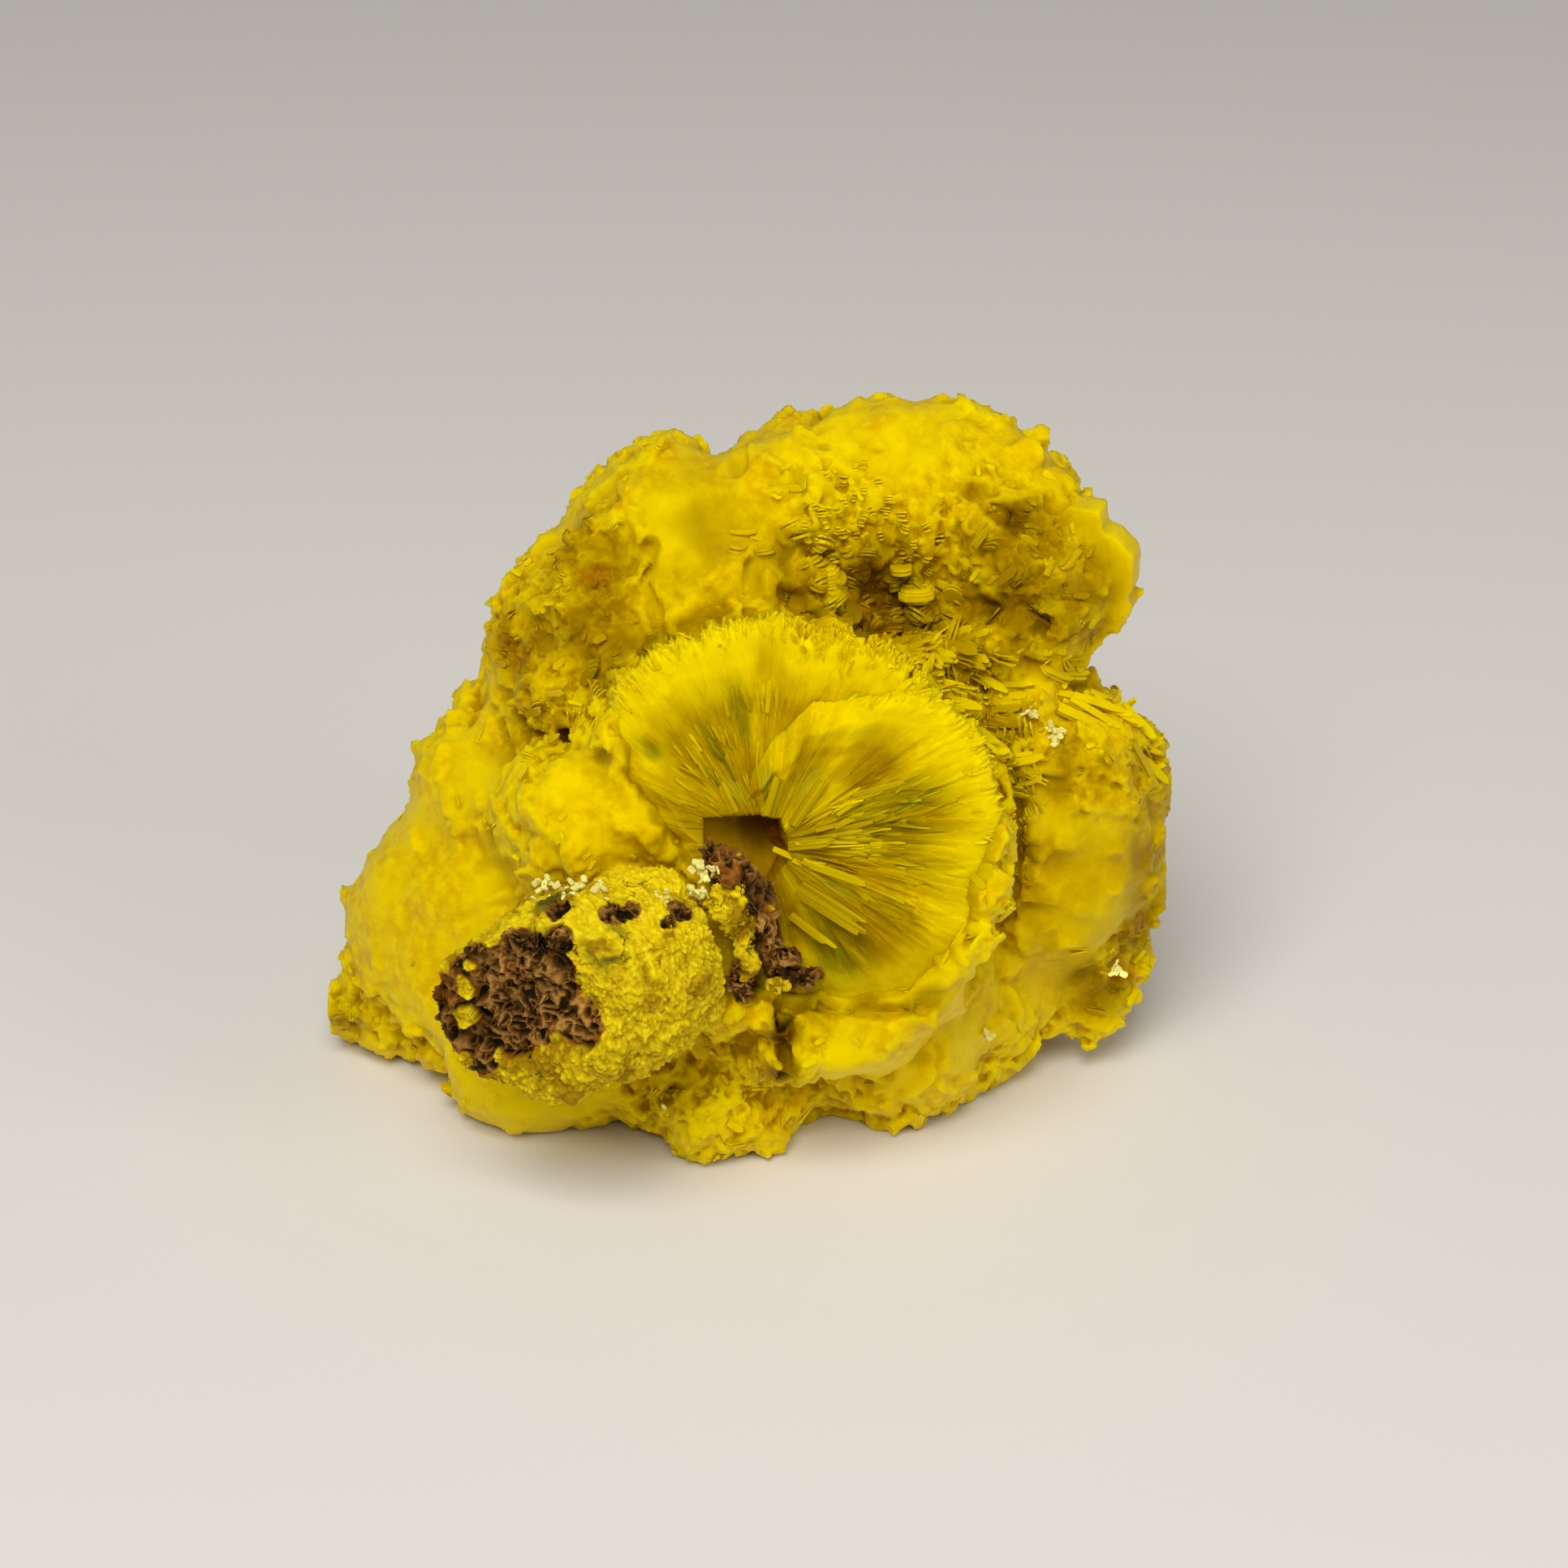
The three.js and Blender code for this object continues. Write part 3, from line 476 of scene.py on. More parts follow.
def relaxed(points, edges, rounds):
    """Each point moved half way to the mean of its neighbours, a number of times."""
    count = len(points)
    both = np.concatenate([edges, edges[:, ::-1]])
    degree = np.bincount(both[:, 0], minlength=count)[:, None]
    for _ in range(rounds):
        mean = np.stack(
            [np.bincount(both[:, 0], points[both[:, 1], k], minlength=count) for k in range(3)], axis=1
        )
        points = 0.5 * points + 0.5 * mean / degree
    return points


def as_triangles(loops, sizes):
    """Three corners for each triangle of a skin whose faces have three or four corners."""
    starts = np.concatenate([[0], np.cumsum(sizes)[:-1]])
    quads = starts[sizes == 4]
    first = np.stack([loops[starts], loops[starts + 1], loops[starts + 2]], axis=1)
    second = np.stack([loops[quads], loops[quads + 2], loops[quads + 3]], axis=1)
    return np.concatenate([first, second])


def skin_normals(points, triangles):
    """Unit normals: each triangle's cross product summed at its corners."""
    a, b, c = (points[triangles[:, k]] for k in range(3))
    cross = np.cross(b - a, c - a)
    total = np.zeros_like(points)
    for corner in range(3):
        for axis in range(3):
            total[:, axis] += np.bincount(triangles[:, corner], cross[:, axis], minlength=len(points))
    return unit(total)


def skin_of(piece):
    """A finished piece's points, normals, triangles and marks."""
    points, loops, sizes, _ = read_mesh(piece.data)
    triangles = as_triangles(loops, sizes)
    marks = {}
    for key in MARKS:
        values = np.empty(len(points), np.float32)
        piece.data.attributes[key].data.foreach_get("value", values)
        marks[key] = values
    return points, skin_normals(points, triangles), triangles, marks


def scattered(skin, count, seed):
    """Points spread evenly over a skin, with the skin's normals and marks there."""
    points, normals, triangles, skin_marks = skin
    a, b, c = (points[triangles[:, k]] for k in range(3))
    area = np.linalg.norm(np.cross(b - a, c - a), axis=1)
    random = np.random.default_rng(seed)
    chosen = np.searchsorted(np.cumsum(area) / area.sum(), random.random(count))
    u, v = random.random(count), random.random(count)
    flip = u + v > 1
    u, v = np.where(flip, 1 - u, u), np.where(flip, 1 - v, v)
    corners = triangles[np.minimum(chosen, len(triangles) - 1)]
    share = np.stack([1 - u - v, u, v], axis=1)
    place = np.einsum("nk,nkd->nd", share, points[corners])
    normal = unit(normals[corners].mean(axis=1))
    return place, normal, {key: np.sum(share * values[corners], axis=1) for key, values in skin_marks.items()}


MARKS = ("pocket_shade", "shade", "orange", "olive", "hollow_shade")  # what a tablet takes from the skin it stands on
# Outlines of a tablet: share of the length, and share of the width.
LATH = np.array([(0, -0.4), (0.72, -0.5), (1, -0.18), (1, 0.22), (0.8, 0.5), (0, 0.4)])
BOOK_LEAF = np.array([
    (0, -0.36), (0.35, -0.5), (0.7, -0.46), (0.93, -0.28), (1, 0),
    (0.93, 0.28), (0.7, 0.46), (0.35, 0.5), (0, 0.36),
])
TAB = np.array([
    (0, -0.5), (0.75, -0.5), (0.93, -0.36), (1, -0.1), (0.98, 0.24), (0.86, 0.44), (0.6, 0.5), (0, 0.46),
])


def tablet_faces(root, along, flat, length, width, thickness, outline):
    """Points, corners and face sizes of many flat tablets. Each runs from its root along one direction,
    its flat side faces another, and its outline is scaled by its length and width and given a thickness."""
    along = unit(along)
    flat = unit(flat - np.sum(flat * along, axis=1, keepdims=True) * along)
    across = np.cross(flat, along)
    corner = (
        root[:, None]
        + along[:, None] * (outline[None, :, :1] * length[:, None, None])
        + across[:, None] * (outline[None, :, 1:] * width[:, None, None])
    )
    half = flat[:, None] * (np.broadcast_to(thickness, len(root))[:, None, None] / 2)
    points = np.concatenate([corner + half, corner - half], axis=1)
    n = len(outline)
    ring = np.arange(n)
    after = (ring + 1) % n
    sides = np.stack([ring + n, after + n, after, ring], axis=1).ravel()
    one = np.concatenate([ring, (ring + n)[::-1], sides])
    loops = (np.arange(len(root))[:, None] * 2 * n + one[None]).ravel()
    sizes = np.tile(np.array([n, n] + [4] * n), len(root))
    return points.reshape(-1, 3), loops, sizes


def inside_box(points):
    """Points held inside the box of the solids."""
    return np.clip(points, np.array(CAD_BOX[0]) / MM, np.array(CAD_BOX[1]) / MM)


def place_marks(points, skin, edges):
    """What each place on the crystal mass looks like, mostly painted shade: brown in pockets and creases,
    darker where shaded, how orange, how olive, and darker by how far it lies under the skin around it, near
    by and over a wider stretch."""
    fan, _ = in_fan(points)
    calm = among(points, CALM)
    patchy = 0.5 + 0.5 * layered(points, 0.8, 9)
    _, crease_shade = along_strokes(points, False)
    # Painted shade: brown in the pockets and in the deepest creases.
    pocket_shade = smoothstep(0.05, 0.8, nearness(points, POCKET_SHADES) + 0.2 * layered(points, 0.7, 2))
    pocket_shade = np.maximum(pocket_shade, 0.8 * crease_shade * crease_shade)
    # Painted shade: in the listed balls, along the creases and under the fan.
    shade = among(points, SHADES) * smoothstep(0.15, 0.6, patchy)
    shade = np.maximum(np.maximum(shade, crease_shade * (0.4 + 0.6 * patchy)), 0.6 * fan)
    orange = among(points, ORANGE_SPOTS, 1.6) * smoothstep(0.35, 0.6, patchy)
    # Painted shade: darker the further a place lies under the skin around it, less so in the calm places.
    fine = np.sum((relaxed(points, edges, 8) - points) * skin, axis=1)
    wide = np.sum((relaxed(points, edges, 90) - points) * skin, axis=1)
    hollow_shade = np.clip((0.5 - 0.42 * calm) * fine / 0.05 + (0.7 - 0.6 * calm) * wide / 0.3, 0, 1)
    # Olive patches, laid only within the painted shade.
    olive = 0.35 * shade * smoothstep(0.1, 0.5, layered(points, 0.6, 19))
    return {"pocket_shade": pocket_shade, "shade": shade, "orange": orange, "olive": olive, "hollow_shade": hollow_shade}


# ------------------------------------------------------------------ materials


def node(tree, kind, links=None, **settings):
    """Adds a node, sets its properties and sockets by name, and links its inputs from other sockets."""
    made = tree.nodes.new(kind)
    for key, value in settings.items():
        if hasattr(made, key):
            setattr(made, key, value)
        else:
            made.inputs[key].default_value = value
    for key, source in (links or {}).items():
        tree.links.new(source, made.inputs[key])
    return made


def new_material(name):
    """An empty node material with its shader and output joined."""
    material = bpy.data.materials.new(name)
    material.use_nodes = True
    tree = material.node_tree
    tree.nodes.clear()
    shader = node(tree, "ShaderNodeBsdfPrincipled")
    output = node(tree, "ShaderNodeOutputMaterial")
    tree.links.new(shader.outputs["BSDF"], output.inputs["Surface"])
    return material, tree, shader


def mixed(tree, share, first, second):
    """A colour between two, each a hex colour, a colour setting or a socket, by a share socket."""
    made = tree.nodes.new("ShaderNodeMix")
    made.data_type = "RGBA"
    made.clamp_factor = True
    tree.links.new(share, made.inputs[0])
    for socket, value in ((made.inputs[6], first), (made.inputs[7], second)):
        if isinstance(value, bpy.types.NodeSocket):
            tree.links.new(value, socket)
        else:
            socket.default_value = linear(value) if isinstance(value, str) else (*value, 1.0)
    return made.outputs[2]


def attribute(tree, name):
    """The socket of one of the piece's own number attributes."""
    return node(tree, "ShaderNodeAttribute", attribute_name=name).outputs["Fac"]


def pattern(tree, spacing_mm, detail=3.0):
    """Noise from 0 to 1 on the piece's own coordinates, with features this many millimetres apart."""
    place = node(tree, "ShaderNodeTexCoord").outputs["Object"]
    scale = 1 / (spacing_mm * MM)
    made = node(tree, "ShaderNodeTexNoise", {"Vector": place}, Scale=scale, Detail=detail, Roughness=0.55)
    return made.outputs[0]


def stretched(tree, source, low, high):
    """A socket's range from low to high spread over 0 to 1."""
    made = node(tree, "ShaderNodeMapRange", {"Value": source})
    made.inputs["From Min"].default_value = low
    made.inputs["From Max"].default_value = high
    return made.outputs["Result"]


def crystal_colour(tree):
    """Lemon yellow that drifts to gold, with painted shade: deeper gold in hollows and where shaded, brown in
    pockets. It takes orange and olive streaks."""
    settings = bpy.context.scene.specimen_colours
    drift = stretched(tree, pattern(tree, 1.8), 0.38, 0.62)
    fine = stretched(tree, pattern(tree, 0.3), 0.35, 0.65)
    colour = mixed(tree, drift, settings.lemon, settings.gold)
    colour = mixed(tree, fine, colour, settings.lemon)
    # Painted shade: deeper gold in hollows and where shaded, brown in pockets.
    colour = mixed(tree, attribute(tree, "hollow_shade"), colour, "#B88C00")
    colour = mixed(tree, attribute(tree, "shade"), colour, "#A27C00")
    colour = mixed(tree, attribute(tree, "olive"), colour, "#665E06")
    colour = mixed(tree, attribute(tree, "orange"), colour, "#A06804")
    return mixed(tree, attribute(tree, "pocket_shade"), colour, "#603A02")


def waxy(shader, roughness, depth_mm, share):
    """What all the yellow crystal has: light soaks in a fraction of a millimetre, with the blue lost first,
    and the gloss is tinted, because most of it comes back from under the surface."""
    shader.inputs["Roughness"].default_value = roughness
    shader.inputs["IOR"].default_value = 1.7
    shader.inputs["Specular IOR Level"].default_value = 0.22
    shader.inputs["Specular Tint"].default_value = linear("#FFE200")
    shader.inputs["Subsurface Weight"].default_value = share
    shader.inputs["Subsurface Radius"].default_value = (1.0, 0.78, 0.03)
    shader.inputs["Subsurface Scale"].default_value = depth_mm * MM


def broken_facets(tree, size_mm, strength, depth_mm, normal=None):
    """A bump of small flat cells, each with its own tilt, over another bump's normal where one is given."""
    place = node(tree, "ShaderNodeTexCoord").outputs["Object"]
    per_metre = 1 / (size_mm * MM)
    cell = node(tree, "ShaderNodeTexVoronoi", {"Vector": place}, Scale=per_metre)
    lean = node(tree, "ShaderNodeVectorMath", {0: cell.outputs["Color"]}, operation="SUBTRACT")
    lean.inputs[1].default_value = (0.5, 0.5, 0.5)
    scaled = node(tree, "ShaderNodeVectorMath", {0: place}, operation="SCALE")
    scaled.inputs["Scale"].default_value = per_metre
    sides = {0: scaled.outputs[0], 1: lean.outputs[0]}
    tilt = node(tree, "ShaderNodeVectorMath", sides, operation="DOT_PRODUCT")
    links = {"Height": tilt.outputs["Value"]}
    if normal:
        links["Normal"] = normal
    return node(tree, "ShaderNodeBump", links, Strength=strength, Distance=depth_mm * MM).outputs["Normal"]


def crystal_mass_material():
    """Vanuralite grown in tight sheaves: waxy and translucent, its light bleeding a fraction of a
    millimetre, with fine broken facets a tenth of a millimetre wide that catch the light."""
    material, tree, shader = new_material("vanuralite_sheaves")
    tree.links.new(crystal_colour(tree), shader.inputs["Base Color"])
    waxy(shader, 0.46, 0.36, 0.6)
    facets_normal = broken_facets(tree, 0.07, 0.4, 0.03, broken_facets(tree, 0.17, 0.3, 0.07))
    grain = node(tree, "ShaderNodeBump", {"Height": pattern(tree, 0.1, 3.0), "Normal": facets_normal},
                 Strength=0.35, Distance=0.02 * MM)
    tree.links.new(grain.outputs["Normal"], shader.inputs["Normal"])
    return material


def fan_material():
    """The fan's fused blades: streaks of colour and fine ribs that radiate, a painted glow on the translucent
    rims for light through them, and the cavity's brown, which also paints shade under the seam.
    """
    material, tree, shader = new_material("vanuralite_fan")
    place = node(tree, "ShaderNodeAttribute", attribute_name="spokes").outputs["Vector"]
    broad = node(tree, "ShaderNodeTexNoise", {"Vector": place}, Scale=1.1, Detail=3.0, Roughness=0.6)
    thin = node(tree, "ShaderNodeTexNoise", {"Vector": place}, Scale=4.5, Detail=4.0, Roughness=0.6)
    colour = mixed(tree, stretched(tree, broad.outputs[0], 0.45, 0.7), crystal_colour(tree), "#A88400")
    colour = mixed(tree, stretched(tree, thin.outputs[0], 0.58, 0.9), colour, "#C8AA08")
    colour = mixed(tree, attribute(tree, "fresh"), colour, "#BCAE14")
    # Painted glow on the rims; then the cavity's own brown, also painted as shade under the seam.
    colour = mixed(tree, attribute(tree, "rim"), colour, "#F6DC00")
    colour = mixed(tree, attribute(tree, "cave"), colour, "#824604")
    tree.links.new(colour, shader.inputs["Base Color"])
    waxy(shader, 0.4, 0.36, 0.6)
    ribs = node(tree, "ShaderNodeBump", {"Height": thin.outputs[0]}, Strength=0.6, Distance=0.06 * MM)
    tree.links.new(broken_facets(tree, 0.1, 0.3, 0.05, ribs.outputs["Normal"]), shader.inputs["Normal"])
    return material


def tablet_material():
    """Single vanuralite tablets: thin glassy plates that glint on their flat sides, painted lighter at the
    tip as light reaches it, except in the painted shade."""
    material, tree, shader = new_material("vanuralite_tablets")
    bright = mixed(tree, attribute(tree, "tint"), "#F8E400", "#E2BC00")
    # Painted light: lighter towards the tip, held back by the painted shade.
    towards_tip = node(tree, "ShaderNodeMath", {0: attribute(tree, "tip")}, operation="MULTIPLY")
    towards_tip.inputs[1].default_value = 0.6
    unshaded = node(tree, "ShaderNodeMath", {0: attribute(tree, "shade")}, operation="MULTIPLY_ADD")
    unshaded.inputs[1].default_value = -0.9
    unshaded.inputs[2].default_value = 1.0
    shares = {0: towards_tip.outputs[0], 1: unshaded.outputs[0]}
    lit = node(tree, "ShaderNodeMath", shares, operation="MULTIPLY")
    colour = mixed(tree, lit.outputs[0], crystal_colour(tree), bright)
    tree.links.new(colour, shader.inputs["Base Color"])
    waxy(shader, 0.38, 0.12, 0.2)
    return material


def fresh_material():
    """Fresh clear plates: pale greenish lemon, glassy, near white where they mirror the light."""
    material, tree, shader = new_material("fresh_plates")
    colour = mixed(tree, attribute(tree, "tint"), "#F8F4A8", "#F4DC18")
    tree.links.new(colour, shader.inputs["Base Color"])
    waxy(shader, 0.18, 0.1, 0.1)
    shader.inputs["Specular Tint"].default_value = linear("#FFF060")
    shader.inputs["Specular IOR Level"].default_value = 0.5
    return material


def rock_material():
    """Limonite matrix under a powdery yellow crust: matt brown grains with a painted highlight on their tops
    and near-black painted shade in the pits, rusty rims, and a dusty lemon coat with painted shade in its
    hollows where the crust attribute says so."""
    material, tree, shader = new_material("limonite_and_crust")
    settings = bpy.context.scene.specimen_colours
    stone = mixed(tree, stretched(tree, pattern(tree, 0.5), 0.35, 0.65), settings.stone, "#3E2206")
    # Painted highlight on the tops of the ribs.
    stone = mixed(tree, attribute(tree, "top"), stone, "#BC8A40")
    stone = mixed(tree, attribute(tree, "rusty"), stone, "#86480A")
    # Painted shade, near black, in the pits.
    stone = mixed(tree, attribute(tree, "grain"), stone, "#100600")
    crust = mixed(tree, stretched(tree, pattern(tree, 0.4), 0.3, 0.7), settings.crust, "#E2BE00")
    crust = mixed(tree, stretched(tree, pattern(tree, 0.11), 0.5, 0.75), crust, "#FCEC30")
    # Painted shade in the crust's hollows and low down, lighter high up, with darker patches at random.
    crust = mixed(tree, attribute(tree, "hollow_shade"), crust, "#A07C00")
    crust = mixed(tree, attribute(tree, "olive"), crust, "#5E5410")
    tree.links.new(mixed(tree, attribute(tree, "crust"), stone, crust), shader.inputs["Base Color"])
    shader.inputs["Roughness"].default_value = 0.8
    shader.inputs["IOR"].default_value = 1.5
    shader.inputs["Specular IOR Level"].default_value = 0.25
    shader.inputs["Specular Tint"].default_value = linear("#FFF0A0")
    powder = pattern(tree, 0.06, 4.0)
    bump = node(tree, "ShaderNodeBump", {"Height": powder}, Strength=0.8, Distance=0.03 * MM)
    tree.links.new(bump.outputs["Normal"], shader.inputs["Normal"])
    return material


MATERIALS = {
    "vanuralite_sheaves": crystal_mass_material, "vanuralite_fan": fan_material,
    "vanuralite_tablets": tablet_material, "fresh_plates": fresh_material,
    "limonite_and_crust": rock_material,
}


def material_named(name):
    """The material of that name, made on first use."""
    return bpy.data.materials.get(name) or MATERIALS[name]()


# ------------------------------------------------------------------ how tablets are laid out


CLEAR_OF_FLOOR = 0.2  # no tablet stands lower than this


def near_places(*balls, gain=1.6):
    """A chance that is high inside some balls and fades to nothing at their reach."""
    return lambda place, normal: among(place, np.array(balls, float), gain)


def outwards(place):
    """The direction over the fan's face from the cavity to its rim, three times as strong as the stray."""
    offset = place - FAN_AT
    return 3 * unit(offset - (offset @ FAN_FACING)[:, None] * FAN_FACING)


def arranged(skin, seed, tried, chance, length, width, leaves=1, gap=0.05, rise=(0.0, 0.4), lie=None,
             face=None, stray=0.4, sunk=0.45, fan_out=0.1, hug=1.0):
    """Roots, directions and sizes of tablets scattered on a skin, in books of some leaves. Chance gives the
    share kept at each place. Each lies in a direction that is the same within a bundle, or near a given one,
    is turned into the skin's plane by hug, and rises out of it by a slope; its flat side is near the skin's
    own, or faces a given way. Sizes are ranges in millimetres, and most tablets are near the small end. Sunk
    is the share of the length under the skin, gap sets the leaves of a book apart and fan_out splays them."""
    random = np.random.default_rng(seed)
    place, normal, marks = scattered(skin, tried, seed + 1)
    keep = (random.random(tried) < chance(place, normal)) & (place[:, 2] > CLEAR_OF_FLOOR)
    place, normal = place[keep], normal[keep]
    count = len(place)
    if lie is None:
        lie = 1.6 * bundles(place, 0.8, 60)
    else:
        lie = lie(place) if callable(lie) else np.broadcast_to(lie, (count, 3))
    lie = lie + stray * random.normal(size=(count, 3))
    lying = unit(lie - hug * np.sum(lie * normal, axis=1, keepdims=True) * normal)
    along = unit(lying + random.uniform(*rise, count)[:, None] * normal)
    if face is None:
        roll = random.uniform(-1.0, 1.0, count)[:, None]
        flat = unit(normal + roll * np.cross(along, normal))
    else:
        flat = unit(np.asarray(face, float) + 0.5 * stray * random.normal(size=(count, 3)))
    flat = unit(flat - np.sum(flat * along, axis=1, keepdims=True) * along)
    scale = random.random(count) ** 1.5
    long = length[0] + (length[1] - length[0]) * scale
    wide = width[0] + (width[1] - width[0]) * np.clip(0.6 * scale + 0.4 * random.random(count), 0, 1)
    leaf = np.tile(np.arange(leaves) - (leaves - 1) / 2, count)[:, None]

    def book(values):
        return np.repeat(values, leaves, axis=0)

    root = book(place - sunk * long[:, None] * along) + leaf * gap * book(flat)
    along = book(along) + fan_out * leaf * book(flat) + 0.04 * random.normal(size=root.shape)
    many = len(root)
    marks = {key: book(values[keep]) for key, values in marks.items()}
    return (root, along, book(flat), book(long) * random.uniform(0.75, 1.1, many),
            book(wide) * random.uniform(0.8, 1.1, many), marks)


def tablets(name, root, along, flat, long, wide, thickness, outline, tint, marks, material):
    """A piece of tablets, each with its number of tint and its share of the way to the tip."""
    points, loops, sizes = tablet_faces(root, along, flat, long, wide, thickness, outline)
    corners = 2 * len(outline)
    spread = {key: np.repeat(values, corners) for key, values in marks.items()}
    spread["tint"] = np.repeat(tint, corners)
    spread["tip"] = np.tile(np.concatenate([outline[:, 0]] * 2), len(root))
    piece = mesh_object(name, inside_box(points), loops, sizes, spread, material, smooth=False)
    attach(piece, "root")


def grown(name, seed, tried, chance, length, width, thickness=0.04, outline=LATH, tint=1.0,
          on="crystal_mass", **order):
    """A piece of tablets arranged on another piece."""
    skin = skin_of(bpy.data.objects[on])
    root, along, flat, long, wide, marks = arranged(skin, seed, tried, chance, length, width, **order)
    tints = np.random.default_rng(seed + 2).random(len(root)) * tint
    material = material_named("vanuralite_tablets")
    tablets(name, root, along, flat, long, wide, thickness, outline, tints, marks, material)


def placed(name, rows, material, tint):
    """A piece of single crystals, each row one of them: root, tip, the way the flat side faces, width,
    thickness and how shaded it is. The deeply shaded ones are olive too."""
    root, tip, flat = (np.array([row[k] for row in rows], float) for k in range(3))
    wide, thickness, shade = (np.array([row[k] for row in rows]) for k in (3, 4, 5))
    long = np.linalg.norm(tip - root, axis=1)
    marks = {"shade": shade, "olive": 0.7 * np.clip(shade, 0, 1) ** 2}
    tablets(name, root, tip - root, flat, long, wide, thickness, TAB, np.full(len(rows), tint), marks,
            material_named(material))


# ------------------------------------------------------------------ the crystal mass


def welded_cluster():
    """The cluster's solid with its doubled points merged."""
    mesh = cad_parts["crystal_cluster"].data.copy()
    welded = bmesh.new()
    welded.from_mesh(mesh)
    bmesh.ops.remove_doubles(welded, verts=welded.verts, dist=1e-7)
    welded.to_mesh(mesh)
    welded.free()
    points, loops, sizes, _ = read_mesh(mesh)
    bpy.data.meshes.remove(mesh)
    return points, loops, sizes


def broad_relief(points):
    """How far the skin stands out before the sheaves grow: swellings, broken facets over a millimetre wide
    that are flatter in the calm places, the ridges, and the pressed-in hollows. The fan's face is set back
    to make room for its own two tiers."""
    fan, share = in_fan(points)
    calm = among(points, CALM) * (1 - fan)
    press = np.zeros(len(points))
    for x, y, z, reach, depth in DIGS:
        inside = np.clip(1 - np.linalg.norm(points - (x, y, z), axis=1) / reach, 0, 1)
        press = press + depth * inside * inside * (3 - 2 * inside)
    lift, _ = along_strokes(points, True)
    return (
        (0.16 - 0.11 * calm) * layered(points, 1.5, 11) * (1 - 0.5 * fan)
        + (1 - fan) * (0.5 - 0.4 * calm) * facets(stirred(points, 0.25, 0.9, 71), 1.4, 101, 0.5)
        + lift * (1 - fan) - press - fan * (0.3 + 0.4 * smoothstep(0.95, 0.75, share)) - 0.06
    )


def behind_fan(points):
    """Points held half a millimetre behind the front tier's face wherever that tier's rim stands free, so
    that no tablet of the solid shows through it."""
    bearing, reach, height = fan_place(points)
    share = reach / round_the_fan(FRONT_RIM, bearing)
    free = smoothstep(0.5, 0.85, round_the_fan(FRONT_FREE, bearing)) * (share < 0.98) * (height < 3)
    room = eased(FAN_SECTION, np.clip(share, 0, 1)) + round_the_fan(FRONT_LIFT, bearing) - 0.5
    return points - (free * np.clip(height - room, 0, None))[:, None] * FAN_FACING


def fine_relief(points):
    """The creases, then small broken facets, strongest in the rough places."""
    fan, _ = in_fan(points)
    calm = among(points, CALM) * (1 - fan)
    rough = among(points, ROUGH) * (1 - fan)
    lift, _ = along_strokes(points, False)
    return (
        lift
        + (1 - fan) * (0.24 - 0.21 * calm + 0.1 * rough) * facets(points, 0.5, 111, 0.6)
        + (1 - fan) * (0.36 - 0.33 * calm + 0.2 * rough) * facets(points, 0.26, 121, 0.6)
        + (0.012 - 0.006 * calm) * layered(points, 0.25, 13)
    )


def off_the_fan(calm_share):
    """A chance that is 0 on the fan and lower by a share of itself in the calm places."""
    def chance(place, normal):
        fan, _ = in_fan(place)
        return (1 - fan) * (1 - calm_share * among(place, CALM))
    return chance


def sheaves_on(skin):
    """The chunky sheaves and blocks that are fused into the mass: stubby sheaves in the rough places, flat
    ones over the rest, leaves on the left shoulder, plates on the right lobe and in the upper vug, then the
    blocks and the ear's edge."""
    shoulder = near_places(
        (-5.0, -0.7, 11.3, 0.9), (-3.9, -1.3, 11.6, 1.1), (-3.3, -1.4, 12.0, 1.1), gain=2.0)
    lobe = near_places((9.0, 0.4, 10.2, 1.5), (9.9, 0.2, 9.4, 1.2), gain=2.0)
    vug = near_places(
        (3.6, 0.4, 13.9, 1.9), (1.6, 0.6, 14.8, 1.3), (3.0, 1.2, 15.6, 1.2), (4.9, 0.4, 13.4, 1.3))
    groups = (  # thickness, outline and how they are arranged
        (0.14, LATH, dict(
            seed=300, tried=16000, chance=near_places(*ROUGH, gain=1.5), length=(0.25, 0.6),
            width=(0.16, 0.34), leaves=2, gap=0.12, rise=(0.0, 0.45), stray=0.3, sunk=0.58, fan_out=0.2)),
        (0.16, LATH, dict(
            seed=310, tried=6000, chance=off_the_fan(0.95), length=(0.5, 1.1), width=(0.3, 0.6),
            rise=(0.0, 0.2), stray=0.3, sunk=0.5)),
        (0.15, LATH, dict(
            seed=340, tried=18000, chance=shoulder, length=(0.5, 0.85), width=(0.22, 0.34), leaves=3,
            gap=0.12, rise=(0.3, 0.8), lie=(0.8, -0.6, 1.0), stray=0.35, sunk=0.4, fan_out=0.2)),
        (0.12, TAB, dict(
            seed=360, tried=14000, chance=lobe, length=(0.9, 1.8), width=(0.3, 0.6), rise=(0.0, 0.12),
            lie=(1.0, -0.2, -0.45), face=(0.1, -0.5, 1.0), stray=0.1, sunk=0.6)),
        (0.3, LATH, dict(
            seed=370, tried=3500, chance=vug, length=(0.5, 0.9), width=(0.4, 0.9), rise=(0.0, 0.0),
            lie=(-0.1, -1.6, 0.3), face=(-0.1, 0.4, 0.9), stray=0.4, hug=0.0, sunk=0.7)),
    )
    parts = []
    for thickness, outline, order in groups:
        root, along, flat, long, wide, _ = arranged(skin, **order)
        parts.append(tablet_faces(root, along, flat, long, wide, thickness, outline))
    root, tip, flat = (np.array([block[k] for block in BLOCKS], float) for k in range(3))
    wide, thickness = (np.array([block[k] for block in BLOCKS]) for k in (3, 4))
    long = np.linalg.norm(tip - root, axis=1)
    parts.append(tablet_faces(root, tip - root, flat, long, wide, thickness, TAB))
    x, z = np.array(EAR_EDGE)[::-1].T
    outline = np.stack([z, x / EAR_FACING[1]], axis=1)
    middle, up = np.array([[0.0, EAR_MIDDLE, 0.0]]), np.array([[0.0, 0.0, 1.0]])
    parts.append(tablet_faces(
        middle, up, np.array([EAR_FACING]), np.ones(1), np.ones(1), EAR_THICKNESS, outline))
    return parts


